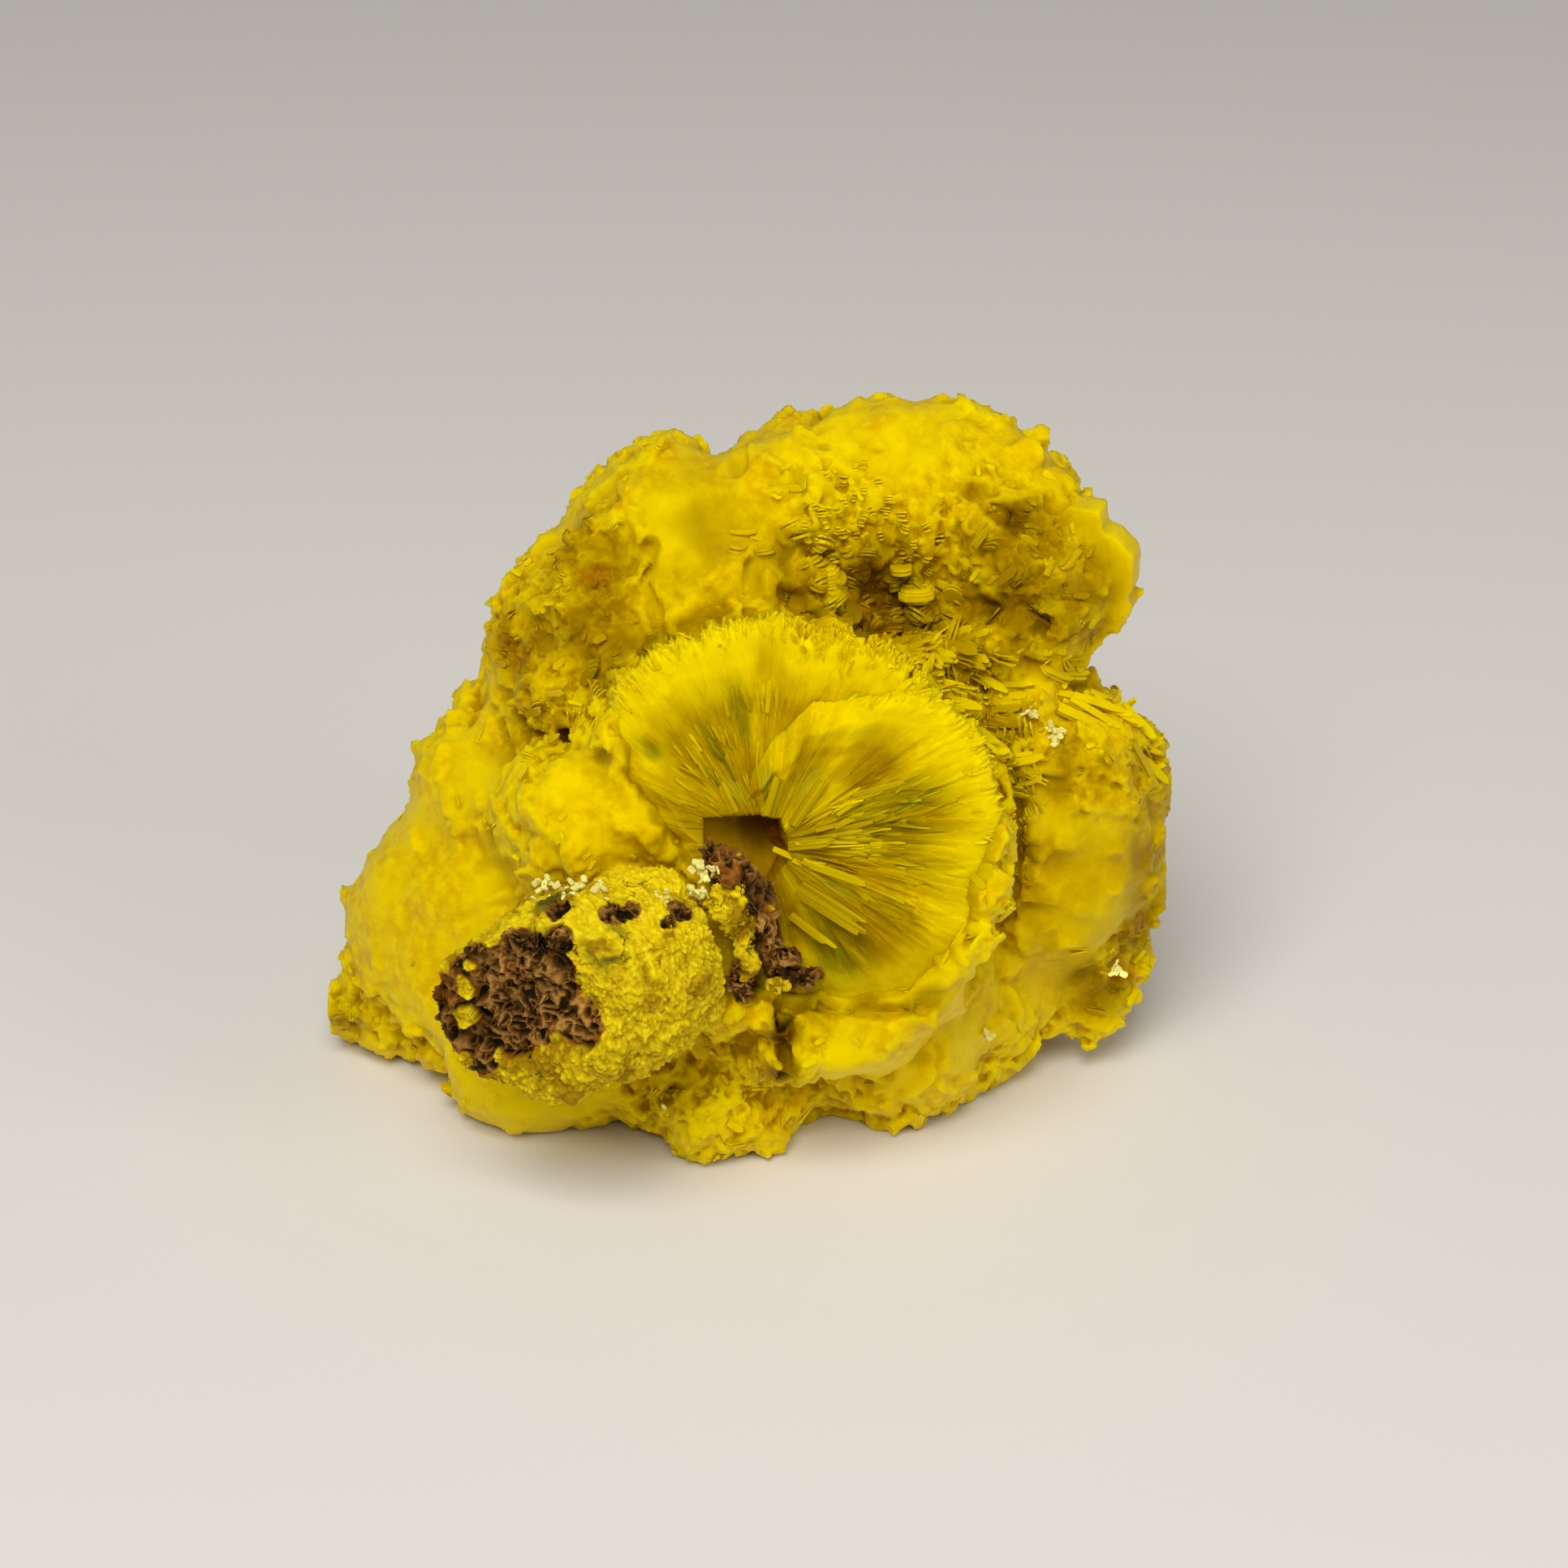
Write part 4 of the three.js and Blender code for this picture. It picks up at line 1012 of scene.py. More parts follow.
class SPECIMEN_OT_crystal_mass(bpy.types.Operator):
    """The grown-together mass: the cluster's solid is given an even skin and its broad relief, sheaves are
    laid on it, all of it is fused into one skin, and that is thinned where it is smooth"""

    bl_idname = "specimen.crystal_mass"
    bl_label = "Crystal mass"

    def execute(self, context):
        size = context.scene.specimen_skin
        points, loops, sizes, edges = modified(
            *welded_cluster(), "REMESH", mode="VOXEL", voxel_size=2 * size.voxel)
        points = relaxed(points, edges, size.relax_rounds)
        triangles = as_triangles(loops, sizes)
        points = behind_fan(points + skin_normals(points, triangles) * broad_relief(points)[:, None])
        skin = (points, skin_normals(points, triangles), triangles, {})
        parts = [(points, loops, sizes)] + sheaves_on(skin)
        starts = np.cumsum([0] + [len(part[0]) for part in parts[:-1]])
        points, loops, sizes, edges = modified(
            np.concatenate([part[0] for part in parts]),
            np.concatenate([part[1] + start for part, start in zip(parts, starts)]),
            np.concatenate([part[2] for part in parts]), "REMESH", mode="VOXEL", voxel_size=size.voxel)
        points = relaxed(points, edges, 1)
        points = points + skin_normals(points, as_triangles(loops, sizes)) * fine_relief(points)[:, None]
        kept = size.triangles / len(as_triangles(loops, sizes))
        points, loops, sizes, edges = modified(
            points, loops, sizes, "DECIMATE", ratio=kept, use_collapse_triangulate=True)
        points = inside_box(points)
        marks = place_marks(points, skin_normals(points, as_triangles(loops, sizes)), edges)
        material = material_named("vanuralite_sheaves")
        piece = mesh_object("crystal_mass", points, loops, sizes, marks, material)
        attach(piece, "root")
        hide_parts("crystal_cluster")
        return {"FINISHED"}


# ------------------------------------------------------------------ the fan


def tier_rows(columns):
    """For each point of a tier, row by row: its share of the rim radius, its bearing, how high it is before
    the rim's lift, and whether it is on the face. The face follows the fan's section out to the rim; then the
    wall goes down and draws in, and the last rows close the tier behind."""
    face = np.concatenate([np.linspace(0.02, 0.8, 50), np.linspace(0.81, 1.0, 25)])
    depth = np.linspace(0, 1, 24)
    wall = np.stack([1.015 - 0.14 * depth ** 1.5, 0.1 - 1.9 * depth], axis=1)
    wall = np.concatenate([wall, [(0.5, -2.0), (0.2, -2.0)]])
    turn = np.linspace(-180, 180, columns, endpoint=False)
    share, bearing = np.meshgrid(np.concatenate([face, wall[:, 0]]), turn, indexing="ij")
    down = np.concatenate([eased(FAN_SECTION, face), wall[:, 1]])[:, None] * np.ones_like(share)
    on_face = np.repeat(np.arange(len(down)) < len(face), columns)
    return share.ravel(), bearing.ravel(), down.ravel(), on_face


def rim_teeth(share, bearing, loose, seed):
    """How far the rim's teeth stand out: triangles of uneven height side by side, on the free rim only."""
    turn = (bearing + 180) / 360 * FAN_TEETH + 1.4 * noise(spokes(bearing, 0 * bearing, 9, 0), 1.0, seed + 1)
    tooth = np.floor(turn).astype(np.int64)
    tooth = np.stack([tooth, tooth * 0 + 7, tooth * 0 + seed], axis=1)
    point_of_tooth = 1 - np.abs(2 * (turn % 1) - 1)
    teeth = 0.26 * loose * hashed(tooth, seed) ** 2 * point_of_tooth
    return teeth * np.exp(-((share - 0.985) / 0.03) ** 2)


def rim_scallop(share, bearing, loose, seed):
    """How far the rim swings out and in: slow waves, and broken steps where it is free."""
    waves = 0.2 * layered(spokes(bearing, 0 * bearing, 4, 0), 1.2, seed + 3) * smoothstep(0.6, 1.0, share)
    steps = facets(spokes(bearing, 0 * bearing, 7, 0), 0.8, seed + 4, 1.0)
    return waves + 0.24 * loose * steps * smoothstep(0.8, 1.0, share)


def blade_relief(share, bearing, reach, across, along, seed):
    """The face's blades: cells drawn out along the radius, each with its own tilt, coarse and fine. They
    stand highest to the right of the cavity, less so at the upper left, and fade towards the rim."""
    lathy = smoothstep(-50, -28, bearing) * smoothstep(46, 28, bearing)
    lathy = np.maximum(lathy, 0.4 * smoothstep(165, 125, bearing) * smoothstep(40, 90, bearing))
    lathy = lathy * smoothstep(0.08, 0.2, share) * (0.25 + 0.75 * smoothstep(1.0, 0.66, share))
    return (
        (0.07 + 0.42 * lathy) * facets(spokes(bearing, reach, 3.2, 0.14), 0.3, seed + 5, 0.8)
        + (0.06 + 0.26 * lathy) * facets(spokes(bearing, reach, 8, 0.3), 0.3, seed + 15, 0.8)
        + 0.06 * layered(spokes(bearing, reach, 2.2, 0.25), 0.9, seed + 25)
        + 0.05 * facets(np.stack([across, along, 0 * across], axis=1), 0.5, seed + 35, 0.6)
    )


def fan_marks(share, bearing, reach, down, on_face, loose, edges, inside, seed):
    """What each place on a tier looks like. Painted shade lies in the bowl, most of all on the right, in
    streaks, along the cavity's edges and at the foot of the wall; the free rim has a painted glow of light
    through it; the cavity is its own orange-brown with painted shade in it, and the tier under the seam is
    painted that brown as shade."""
    streaky = smoothstep(-0.35, 0.35, layered(spokes(bearing, reach, 6, 0.3), 1.1, seed + 45))
    patchy = smoothstep(-0.4, 0.3, layered(spokes(bearing, reach, 4, 0.3), 1.2, seed + 55))
    # Painted shade in the bowl, stronger on the right, and at the foot of the wall.
    bowl = smoothstep(0.95 + 0.1 * smoothstep(10, -30, bearing), 0.6, share) * patchy
    right = smoothstep(60, 20, bearing) * smoothstep(-110, -70, bearing)
    streak_shade = in_streaks(SHADE_STREAKS, bearing, reach) * (0.5 + 0.5 * streaky)
    shade = np.maximum((0.7 + 0.3 * right) * bowl, streak_shade)
    wall_shade = np.where(on_face, 0.0, smoothstep(0.0, -0.8, down))
    # Painted light: the rim glows lighter, as light shines through it, most where it stands free.
    rim = smoothstep(0.66, 0.94, share + 0.08 * noise(spokes(bearing, reach, 6, 0.3), 0.5, seed + 65))
    # Painted shade: the seam hides the tier here, so it takes the cavity's brown.
    shade_under_seam = smoothstep(-90, -102, bearing) * smoothstep(-165, -150, bearing)
    shade_under_seam = shade_under_seam * smoothstep(1.1, 1.7, reach)
    # Painted shade, brown, along the cavity's edges and in streaks over the right of the bowl.
    deep = np.maximum(0.6 * smoothstep(0.04, -0.06, edges), 0.4 * right * bowl * streaky)
    olive = in_streaks(OLIVE_STREAKS, bearing, reach) * (0.25 + 0.75 * streaky)
    return {
        "olive": olive * (1 - inside), "shade": np.maximum(shade, wall_shade), "hollow_shade": 0.5 * inside,
        "orange": 0.9 * inside, "pocket_shade": on_face * deep,
        "rim": 0.8 * rim * (1 - wall_shade) * (0.35 + 0.65 * loose),
        "fresh": in_streaks(FRESH_STREAKS, bearing, reach) * (0.5 + 0.5 * streaky) * on_face,
        "cave": on_face * np.maximum(0.9 * inside, shade_under_seam),
        "spokes": spokes(bearing, reach, 3, 0.25),
    }


def fan_tier(rim, lift, free, droop, columns, seed):
    """Points and marks of one tier: its rows stretched to the rim's radius and raised by its lift, with
    teeth, scallops and blades. Inside the cavity's edges the face drops straight down, and where the rim
    isn't free it droops and melts into the mass. The wall is broken into blade ends that stand out
    sideways."""
    share, bearing, down, on_face = tier_rows(columns)
    loose, sag = round_the_fan(free, bearing), round_the_fan(droop, bearing)
    teeth = rim_teeth(share, bearing, loose, seed)
    reach = share * round_the_fan(rim, bearing) + teeth + rim_scallop(share, bearing, loose, seed)
    across, along = reach * np.cos(np.radians(bearing)), reach * np.sin(np.radians(bearing))
    blades = blade_relief(share, bearing, reach, across, along, seed)
    edges = np.max(np.stack([across, along], axis=1) @ CAVITY_EDGES[:, :2].T - CAVITY_EDGES[:, 2], axis=1)
    inside = smoothstep(0.06, -0.06, edges)
    raised = np.where(on_face, blades * (1 - 0.6 * inside), 0.3 * blades)
    height = down + round_the_fan(lift, bearing) + raised
    height = height + 0.6 * teeth - np.where(on_face, CAVITY_DEPTH * inside, 0)
    sinks_from = 0.68 + 0.12 * smoothstep(0.7, 0.3, sag)
    height = height - sag * smoothstep(0, 1, (share - sinks_from) / (1 - sinks_from))
    points = FAN_AT + across[:, None] * FAN_RIGHT + along[:, None] * FAN_UP + height[:, None] * FAN_FACING
    outward = unit(across[:, None] * FAN_RIGHT + along[:, None] * FAN_UP)
    ends = 0.9 * facets(points, 0.42, seed + 75, 0.7) + 0.9 * facets(points, 0.2, seed + 85, 0.8)
    ends = ends * np.where(on_face, 0, smoothstep(0.08, -0.12, down) * smoothstep(0.6, 0.9, share))
    points = points + outward * ends[:, None]
    marks = fan_marks(share, bearing, reach, down, on_face, loose, edges, inside, seed)
    rows = len(points) // columns
    turned = np.arange(len(points)).reshape(rows, columns)[::-1].ravel()
    centre = points.reshape(rows, columns, 3)[[-1, 0]].mean(axis=1)
    marks = {key: np.concatenate([values[turned], values[[-1, 0]]]) for key, values in marks.items()}
    return np.concatenate([points[turned], centre]), marks


class SPECIMEN_OT_fan_tiers(bpy.types.Operator):
    """The fan's two tiers: each a bowl of fused radiating blades with a thick toothed rim, and the cavity
    with straight edges at the middle"""

    bl_idname = "specimen.fan_tiers"
    bl_label = "Fan tiers"

    def execute(self, context):
        columns = context.scene.specimen_tablets.fan_columns
        for name, rim, lift, free, droop, seed in (
            ("fan_back_tier", BACK_RIM, BACK_LIFT, BACK_FREE, BACK_DROOP, 401),
            ("fan_front_tier", FRONT_RIM, FRONT_LIFT, FRONT_FREE, FRONT_DROOP, 451),
        ):
            points, marks = fan_tier(rim, lift, free, droop, columns, seed)
            loops, sizes = grid_faces(len(points) // columns, columns)
            piece = mesh_object(name, points, loops, sizes, marks, material_named("vanuralite_fan"))
            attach(piece, "root")
        return {"FINISHED"}


# ------------------------------------------------------------------ tablets


class SPECIMEN_OT_matted_plates(bpy.types.Operator):
    """Small plates matted nearly flat over the whole mass, so that mostly an edge or a corner shows"""

    bl_idname = "specimen.matted_plates"
    bl_label = "Matted plates"

    def execute(self, context):
        def chance(place, normal):
            patchy = smoothstep(-0.3, 0.5, layered(place, 1.2, 44))
            return off_the_fan(1.0)(place, normal) * (0.25 + 0.75 * patchy)

        tries = context.scene.specimen_tablets.matted_tries
        grown("matted_plates", 100, tries, chance, (0.2, 0.5), (0.1, 0.24), thickness=0.035, leaves=2,
              rise=(-0.05, 0.15), stray=0.3, sunk=0.65)
        return {"FINISHED"}


class SPECIMEN_OT_granular_sheaves(bpy.types.Operator):
    """Short stubby sheaves that make the upper left, the front foot and both toes grainy, and longer ones
    that stand up on the left shoulder"""

    bl_idname = "specimen.granular_sheaves"
    bl_label = "Granular sheaves"

    def execute(self, context):
        tries = context.scene.specimen_tablets.sheaf_tries
        rough = near_places(*ROUGH, gain=1.3)
        grown("granular_sheaves", 120, tries, rough, (0.2, 0.45), (0.08, 0.2), leaves=3,
              rise=(0.0, 0.4), stray=0.3, sunk=0.65, fan_out=0.2)
        shoulder = near_places(
            (-5.0, -0.7, 11.3, 0.8), (-3.9, -1.3, 11.6, 1.0), (-3.3, -1.4, 12.0, 1.0), gain=2.0)
        grown("shoulder_sheaves", 130, tries, shoulder, (0.45, 0.8), (0.14, 0.28), leaves=4,
              gap=0.06, rise=(0.2, 0.8), lie=(0.8, -0.6, 1.0), stray=0.35, sunk=0.35, fan_out=0.16)
        return {"FINISHED"}


class SPECIMEN_OT_vug_books(bpy.types.Operator):
    """Books of tablets in the upper vug, lying nearly level with their edges to the front: thick short ones
    in the middle, broad ledges on the left, and small bright ones above"""

    bl_idname = "specimen.vug_books"
    bl_label = "Vug books"

    def execute(self, context):
        tries = context.scene.specimen_tablets.book_tries
        level = (0.0, 0.4, 0.92)
        as_book = dict(rise=(0.0, 0.0), hug=0.0, outline=BOOK_LEAF)
        vug = near_places((3.6, 0.4, 13.9, 1.9), (4.9, 0.4, 13.2, 1.3), (2.4, 0.4, 14.6, 1.2))
        grown("vug_books", 140, 3 * tries // 5, vug, (0.4, 0.85), (0.25, 0.7), leaves=3, gap=0.06,
              thickness=0.068, lie=(0.2, -1.6, 0.5), face=level, stray=0.75, sunk=0.6,
              fan_out=0.03, **as_book)
        ledges = near_places(
            (1.0, 0.6, 15.2, 1.2), (1.2, 0.2, 14.4, 1.0), (1.6, 0.9, 15.9, 0.9), (1.2, 0.4, 14.8, 1.2))
        grown("vug_shingles", 150, tries // 3, ledges, (0.5, 0.8), (0.5, 1.1), leaves=2, gap=0.07,
              thickness=0.075, lie=(-0.5, -1.6, 0.3), face=(-0.16, 0.36, 0.92), stray=0.3, sunk=0.76,
              fan_out=0.05, **as_book)
        bright = near_places(
            (3.0, 1.2, 16.0, 1.2), (2.2, 1.0, 15.6, 0.9), (4.2, 1.0, 15.2, 0.9), (4.8, 0.9, 14.6, 0.8))
        grown("bright_books", 160, tries, bright, (0.25, 0.6), (0.12, 0.32), leaves=3, gap=0.06, hug=0.3,
              rise=(0.2, 0.8), lie=(0.6, -1.0, 0.6), face=level, stray=0.4, sunk=0.5, tint=0.3)
        return {"FINISHED"}


class SPECIMEN_OT_jumbled_laths(bpy.types.Operator):
    """Laths thrown together to the right of the fan's rim, in bundles that lie the same way, finer ones down
    the groove below them, and the layered tops of the right lobe and ear"""

    bl_idname = "specimen.jumbled_laths"
    bl_label = "Jumbled laths"

    def execute(self, context):
        tries = context.scene.specimen_tablets.book_tries
        def down_to_the_right(place):
            return np.array([1.1, -0.5, 0.0]) + 1.3 * bundles(place, 0.7, 91)

        jumble = near_places((5.1, -0.4, 12.6, 1.4), (5.9, -0.4, 11.7, 1.3), (6.6, -0.7, 10.8, 1.3),
                             (5.3, -1.8, 11.7, 1.1), (4.4, -1.0, 12.7, 1.0), (6.9, -0.8, 9.8, 0.9))
        grown("jumbled_laths", 170, 3 * tries // 2, jumble, (0.5, 1.2), (0.12, 0.3), leaves=2, gap=0.08,
              hug=0.5, rise=(0.0, 0.5), stray=0.3, sunk=0.35, lie=down_to_the_right, thickness=0.05, tint=0.4)
        groove = near_places((6.7, -3.4, 9.8, 1.1), (6.7, -3.4, 8.6, 1.2), (6.4, -3.8, 7.4, 1.1),
                             (5.9, -4.4, 6.4, 0.9), (7.0, -0.9, 8.8, 1.1), (6.9, -1.2, 7.4, 1.0), gain=2.0)
        grown("groove_laths", 175, tries, groove, (0.3, 0.9), (0.06, 0.16), leaves=2, gap=0.06, hug=0.8,
              rise=(0.0, 0.35), stray=0.35, lie=(-0.1, -0.5, 1.2), tint=0.5)
        lobe = near_places((8.5, 0.5, 10.9, 1.0), (9.5, 0.5, 10.2, 1.0), (10.4, 0.5, 9.3, 0.8))
        grown("lobe_plates", 180, 3 * tries // 4, lobe, (0.8, 1.7), (0.12, 0.34), leaves=2, gap=0.07,
              thickness=0.05, rise=(-0.05, 0.06), lie=(1.0, -0.2, -0.45), face=(0.1, -0.5, 1.0), stray=0.08,
              sunk=0.55, outline=TAB)
        ear = near_places((7.4, 0.4, 14.6, 1.6), (8.4, 0.4, 14.2, 1.3), (6.8, 0.3, 13.8, 1.2))
        grown("ear_plates", 185, tries // 2, ear, (0.3, 0.9), (0.1, 0.3), leaves=2, thickness=0.05,
              rise=(-0.1, 0.2), stray=0.25, sunk=0.6)
        return {"FINISHED"}


class SPECIMEN_OT_fan_laths(bpy.types.Operator):
    """Laths that lie on the fan's face and point away from the cavity: most of them to its right, in clumps,
    and shorter ones at its upper left"""

    bl_idname = "specimen.fan_laths"
    bl_label = "Fan laths"

    def execute(self, context):
        def on_right(place, normal):
            bearing, reach, height = fan_place(place)
            share = reach / round_the_fan(FRONT_RIM, bearing)
            side = smoothstep(-45, -25, bearing) * smoothstep(42, 22, bearing)
            side = side * smoothstep(-0.25, 0.35, layered(spokes(bearing, reach, 4, 0.3), 0.9, 7))
            return side * smoothstep(0.1, 0.18, share) * smoothstep(0.82, 0.6, share) * (height > -0.5)

        def on_left(place, normal):
            bearing, reach, height = fan_place(place)
            share = reach / round_the_fan(BACK_RIM, bearing)
            side = smoothstep(60, 80, bearing) * smoothstep(160, 140, bearing)
            return 0.5 * side * smoothstep(0.2, 0.3, share) * smoothstep(0.8, 0.6, share) * (height > -0.6)

        tries = context.scene.specimen_tablets.fan_tries
        grown("fan_laths", 190, 2 * tries // 5, on_right, (0.5, 1.8), (0.05, 0.24), thickness=0.05,
              on="fan_front_tier", rise=(-0.06, 0.02), lie=outwards, stray=0.25, sunk=0.5, tint=0.6)
        grown("fan_back_laths", 195, tries // 2, on_left, (0.4, 1.1), (0.05, 0.14), thickness=0.05,
              on="fan_back_tier", rise=(-0.08, 0.0), lie=outwards, stray=0.2, sunk=0.5, tint=0.6)
        return {"FINISHED"}


class SPECIMEN_OT_rim_fringe(bpy.types.Operator):
    """A fringe of small blades along the rims of both tiers of the fan, and the crest of upright ones
    behind"""

    bl_idname = "specimen.rim_fringe"
    bl_label = "Rim fringe"

    def execute(self, context):
        tries = context.scene.specimen_tablets.fan_tries

        def at_rim(rim, reach, bearing):
            return np.exp(-((reach / round_the_fan(rim, bearing) - 0.99) / 0.04) ** 2)

        def on_back(place, normal):
            bearing, reach, height = fan_place(place)
            near = at_rim(BACK_RIM, reach, bearing)
            return near * smoothstep(30, 45, bearing) * smoothstep(150, 130, bearing) * (height > -0.3)

        def on_front(place, normal):
            bearing, reach, height = fan_place(place)
            near = at_rim(FRONT_RIM, reach, bearing)
            return 0.8 * near * smoothstep(-30, 0, bearing) * smoothstep(80, 60, bearing) * (height > 0.3)

        for name, seed, chance, tier in (
            ("back_fringe", 200, on_back, "fan_back_tier"), ("front_fringe", 205, on_front, "fan_front_tier"),
        ):
            grown(name, seed, tries, chance, (0.2, 0.5), (0.05, 0.14), rise=(0.1, 0.6), lie=outwards, on=tier,
                  stray=0.5, sunk=0.6, tint=0.5)
        crest = near_places(
            (1.9, -2.8, 14.1, 0.8), (2.8, -2.7, 14.0, 0.8), (3.7, -2.4, 13.7, 0.9), (4.5, -2.2, 13.2, 0.7))
        grown("crest_blades", 210, 2 * tries, crest, (0.35, 0.7), (0.07, 0.16), rise=(0.1, 0.5), hug=0.3,
              lie=(0.1, -0.5, 2.0), on="fan_back_tier", stray=0.45, tint=0.3)
        return {"FINISHED"}


# Root, tip, the way the flat side faces, width, thickness and shade.
SINGLE_CRYSTALS = [
    ((1.5, -4.35, 7.9), (3.2, -5.2, 7.15), (0.35, -0.6, 0.9), 0.46, 0.14, 0.7),  # pale blade low right
    ((1.25, -4.1, 8.95), (2.4, -4.35, 9.2), (0.1, -0.8, 0.6), 0.22, 0.1, 0.7),
    ((1.35, -4.0, 9.5), (2.15, -4.0, 10.8), (0.3, -0.9, 0.3), 0.24, 0.1, 0.7),
    ((0.75, -3.9, 9.7), (1.05, -3.7, 10.7), (0.3, -0.9, 0.3), 0.26, 0.1, 0.7),
    ((-0.1, -3.9, 9.8), (-0.45, -3.8, 10.6), (-0.2, -0.9, 0.3), 0.2, 0.08, 0.7),
    ((1.6, -4.1, 8.5), (3.2, -4.9, 8.3), (0.1, -0.8, 0.6), 0.2, 0.08, 0.7),
    ((1.3, -4.5, 7.2), (2.4, -5.3, 6.7), (0.1, -0.7, 0.9), 0.2, 0.1, 0.7),
    ((2.7, -2.85, 13.1), (2.88, -3.25, 13.7), (0.3, -0.9, 0.2), 0.07, 0.05, 0.0),  # needles on the step
    ((2.55, -2.9, 13.0), (2.5, -3.25, 13.55), (0.3, -0.9, 0.2), 0.06, 0.05, 0.0),
    ((3.25, 1.3, 14.6), (3.15, 0.6, 15.4), (0.5, -0.8, 0.3), 0.26, 0.1, 0.0),  # upright blade in the vug
    ((3.0, 1.3, 14.4), (2.7, 0.6, 15.0), (0.4, -0.8, 0.4), 0.22, 0.1, 0.0),
    ((9.5, 1.7, 9.7), (9.95, 1.6, 10.5), (0.2, -0.9, 0.3), 0.14, 0.1, 0.0),  # teeth of the right lobe
    ((9.7, 1.6, 9.7), (10.25, 1.4, 10.35), (0.2, -0.9, 0.3), 0.12, 0.1, 0.0),
    ((9.2, 1.7, 9.9), (9.6, 1.6, 10.5), (0.2, -0.9, 0.3), 0.16, 0.1, 0.0),
    ((10.4, 0.9, 9.0), (10.95, 0.8, 9.5), (0.2, -0.9, 0.3), 0.14, 0.1, 0.0),
    ((10.5, 0.7, 8.6), (11.05, 0.6, 8.9), (0.2, -0.9, 0.3), 0.14, 0.1, 0.0),
    ((5.9, -4.6, 7.4), (5.0, -5.35, 6.2), (0.5, -0.8, 0.2), 0.07, 0.06, 0.0),  # lines at the lower rim
    ((5.6, -5.1, 7.0), (5.3, -5.35, 6.4), (0.5, -0.8, 0.2), 0.12, 0.1, 0.0),
]
STRIP_WIDTH = 0.085  # of the strips that a crystal is split into, side by side
# Lens-shaped books in the vug: root, tip, width and number of leaves.
BOOKS = [
    ((2.2, 1.0, 14.15), (2.1, 0.0, 14.25), 1.0, 9), ((2.6, 1.1, 13.8), (2.4, 0.2, 13.9), 0.7, 4),
    ((4.5, 1.3, 13.6), (4.5, 0.3, 13.7), 1.0, 8), ((4.1, 1.1, 14.3), (4.1, 0.3, 14.4), 0.6, 4),
]
LEAF_THICKNESS = 0.07


class SPECIMEN_OT_single_crystals(bpy.types.Operator):
    """Crystals large enough to be known by sight, each in its own place: the pale blade and laths round the
    cavity, the lens-shaped books of the vug, and the teeth of the right lobe's outline"""

    bl_idname = "specimen.single_crystals"
    bl_label = "Single crystals"

    def execute(self, context):
        random = np.random.default_rng(480)
        rows = []
        for root, tip, flat, width, thickness, shade in SINGLE_CRYSTALS:
            strips = max(1, round(width / STRIP_WIDTH))
            root, tip, flat = (np.array(v) for v in (root, tip, flat))
            across = unit(np.cross(flat, tip - root)) * width / strips
            for strip in np.arange(strips) - (strips - 1) / 2:
                start = root + strip * across + random.uniform(-0.03, 0.03) * flat
                end = tip + strip * across + random.uniform(-0.22, 0.02) * (tip - root)
                end = end + random.uniform(-0.05, 0.02) * flat
                lean = flat + 0.35 * random.normal(size=3)
                shaded = shade * random.uniform(0.6, 1.2)
                rows.append((start, end, lean, 1.2 * width / strips, thickness, shaded))
        placed("single_crystals", rows, "vanuralite_tablets", 0.5)
        level = np.array([-0.05, 0.42, 0.9])
        rows = []
        for root, tip, width, leaves in BOOKS:
            for leaf in np.linspace(-1, 1, leaves):
                wide = width * random.uniform(0.85, 1.05)
                shift = level * 0.034 * leaf * leaves
                narrower = math.sqrt(1 - 0.88 * leaf * leaf)
                end = np.array(root) + narrower * random.uniform(0.85, 1.05) * (np.array(tip) - root)
                shade = random.uniform(0.0, 0.5)
                start = np.array(root) + shift
                rows.append((start, end + 1.1 * shift, level, wide * narrower, LEAF_THICKNESS, shade))
        placed("lens_books", rows, "vanuralite_tablets", 0.5)
        return {"FINISHED"}


# Where fresh plates cluster: x, y, z, reach and half their number.
PALE_CLUSTERS = [
    (-4.0, -6.45, 9.0, 0.28, 10), (-3.3, -6.7, 9.1, 0.2, 8), (-4.7, -6.2, 8.9, 0.25, 7),
    (-0.8, -5.6, 8.95, 0.28, 12), (-1.0, -6.0, 8.7, 0.2, 8), (-1.9, -6.5, 8.8, 0.2, 5),
    (8.0, -0.4, 10.35, 0.2, 12), (8.05, -0.5, 10.05, 0.14, 8), (7.4, -0.6, 10.9, 0.14, 5),
    (-1.9, -4.6, 1.5, 0.14, 5), (9.9, -0.1, 3.1, 0.16, 5), (6.4, -2.3, 2.4, 0.14, 5),
]
TO_THE_LIGHT = (-0.06, -0.8, 0.6)


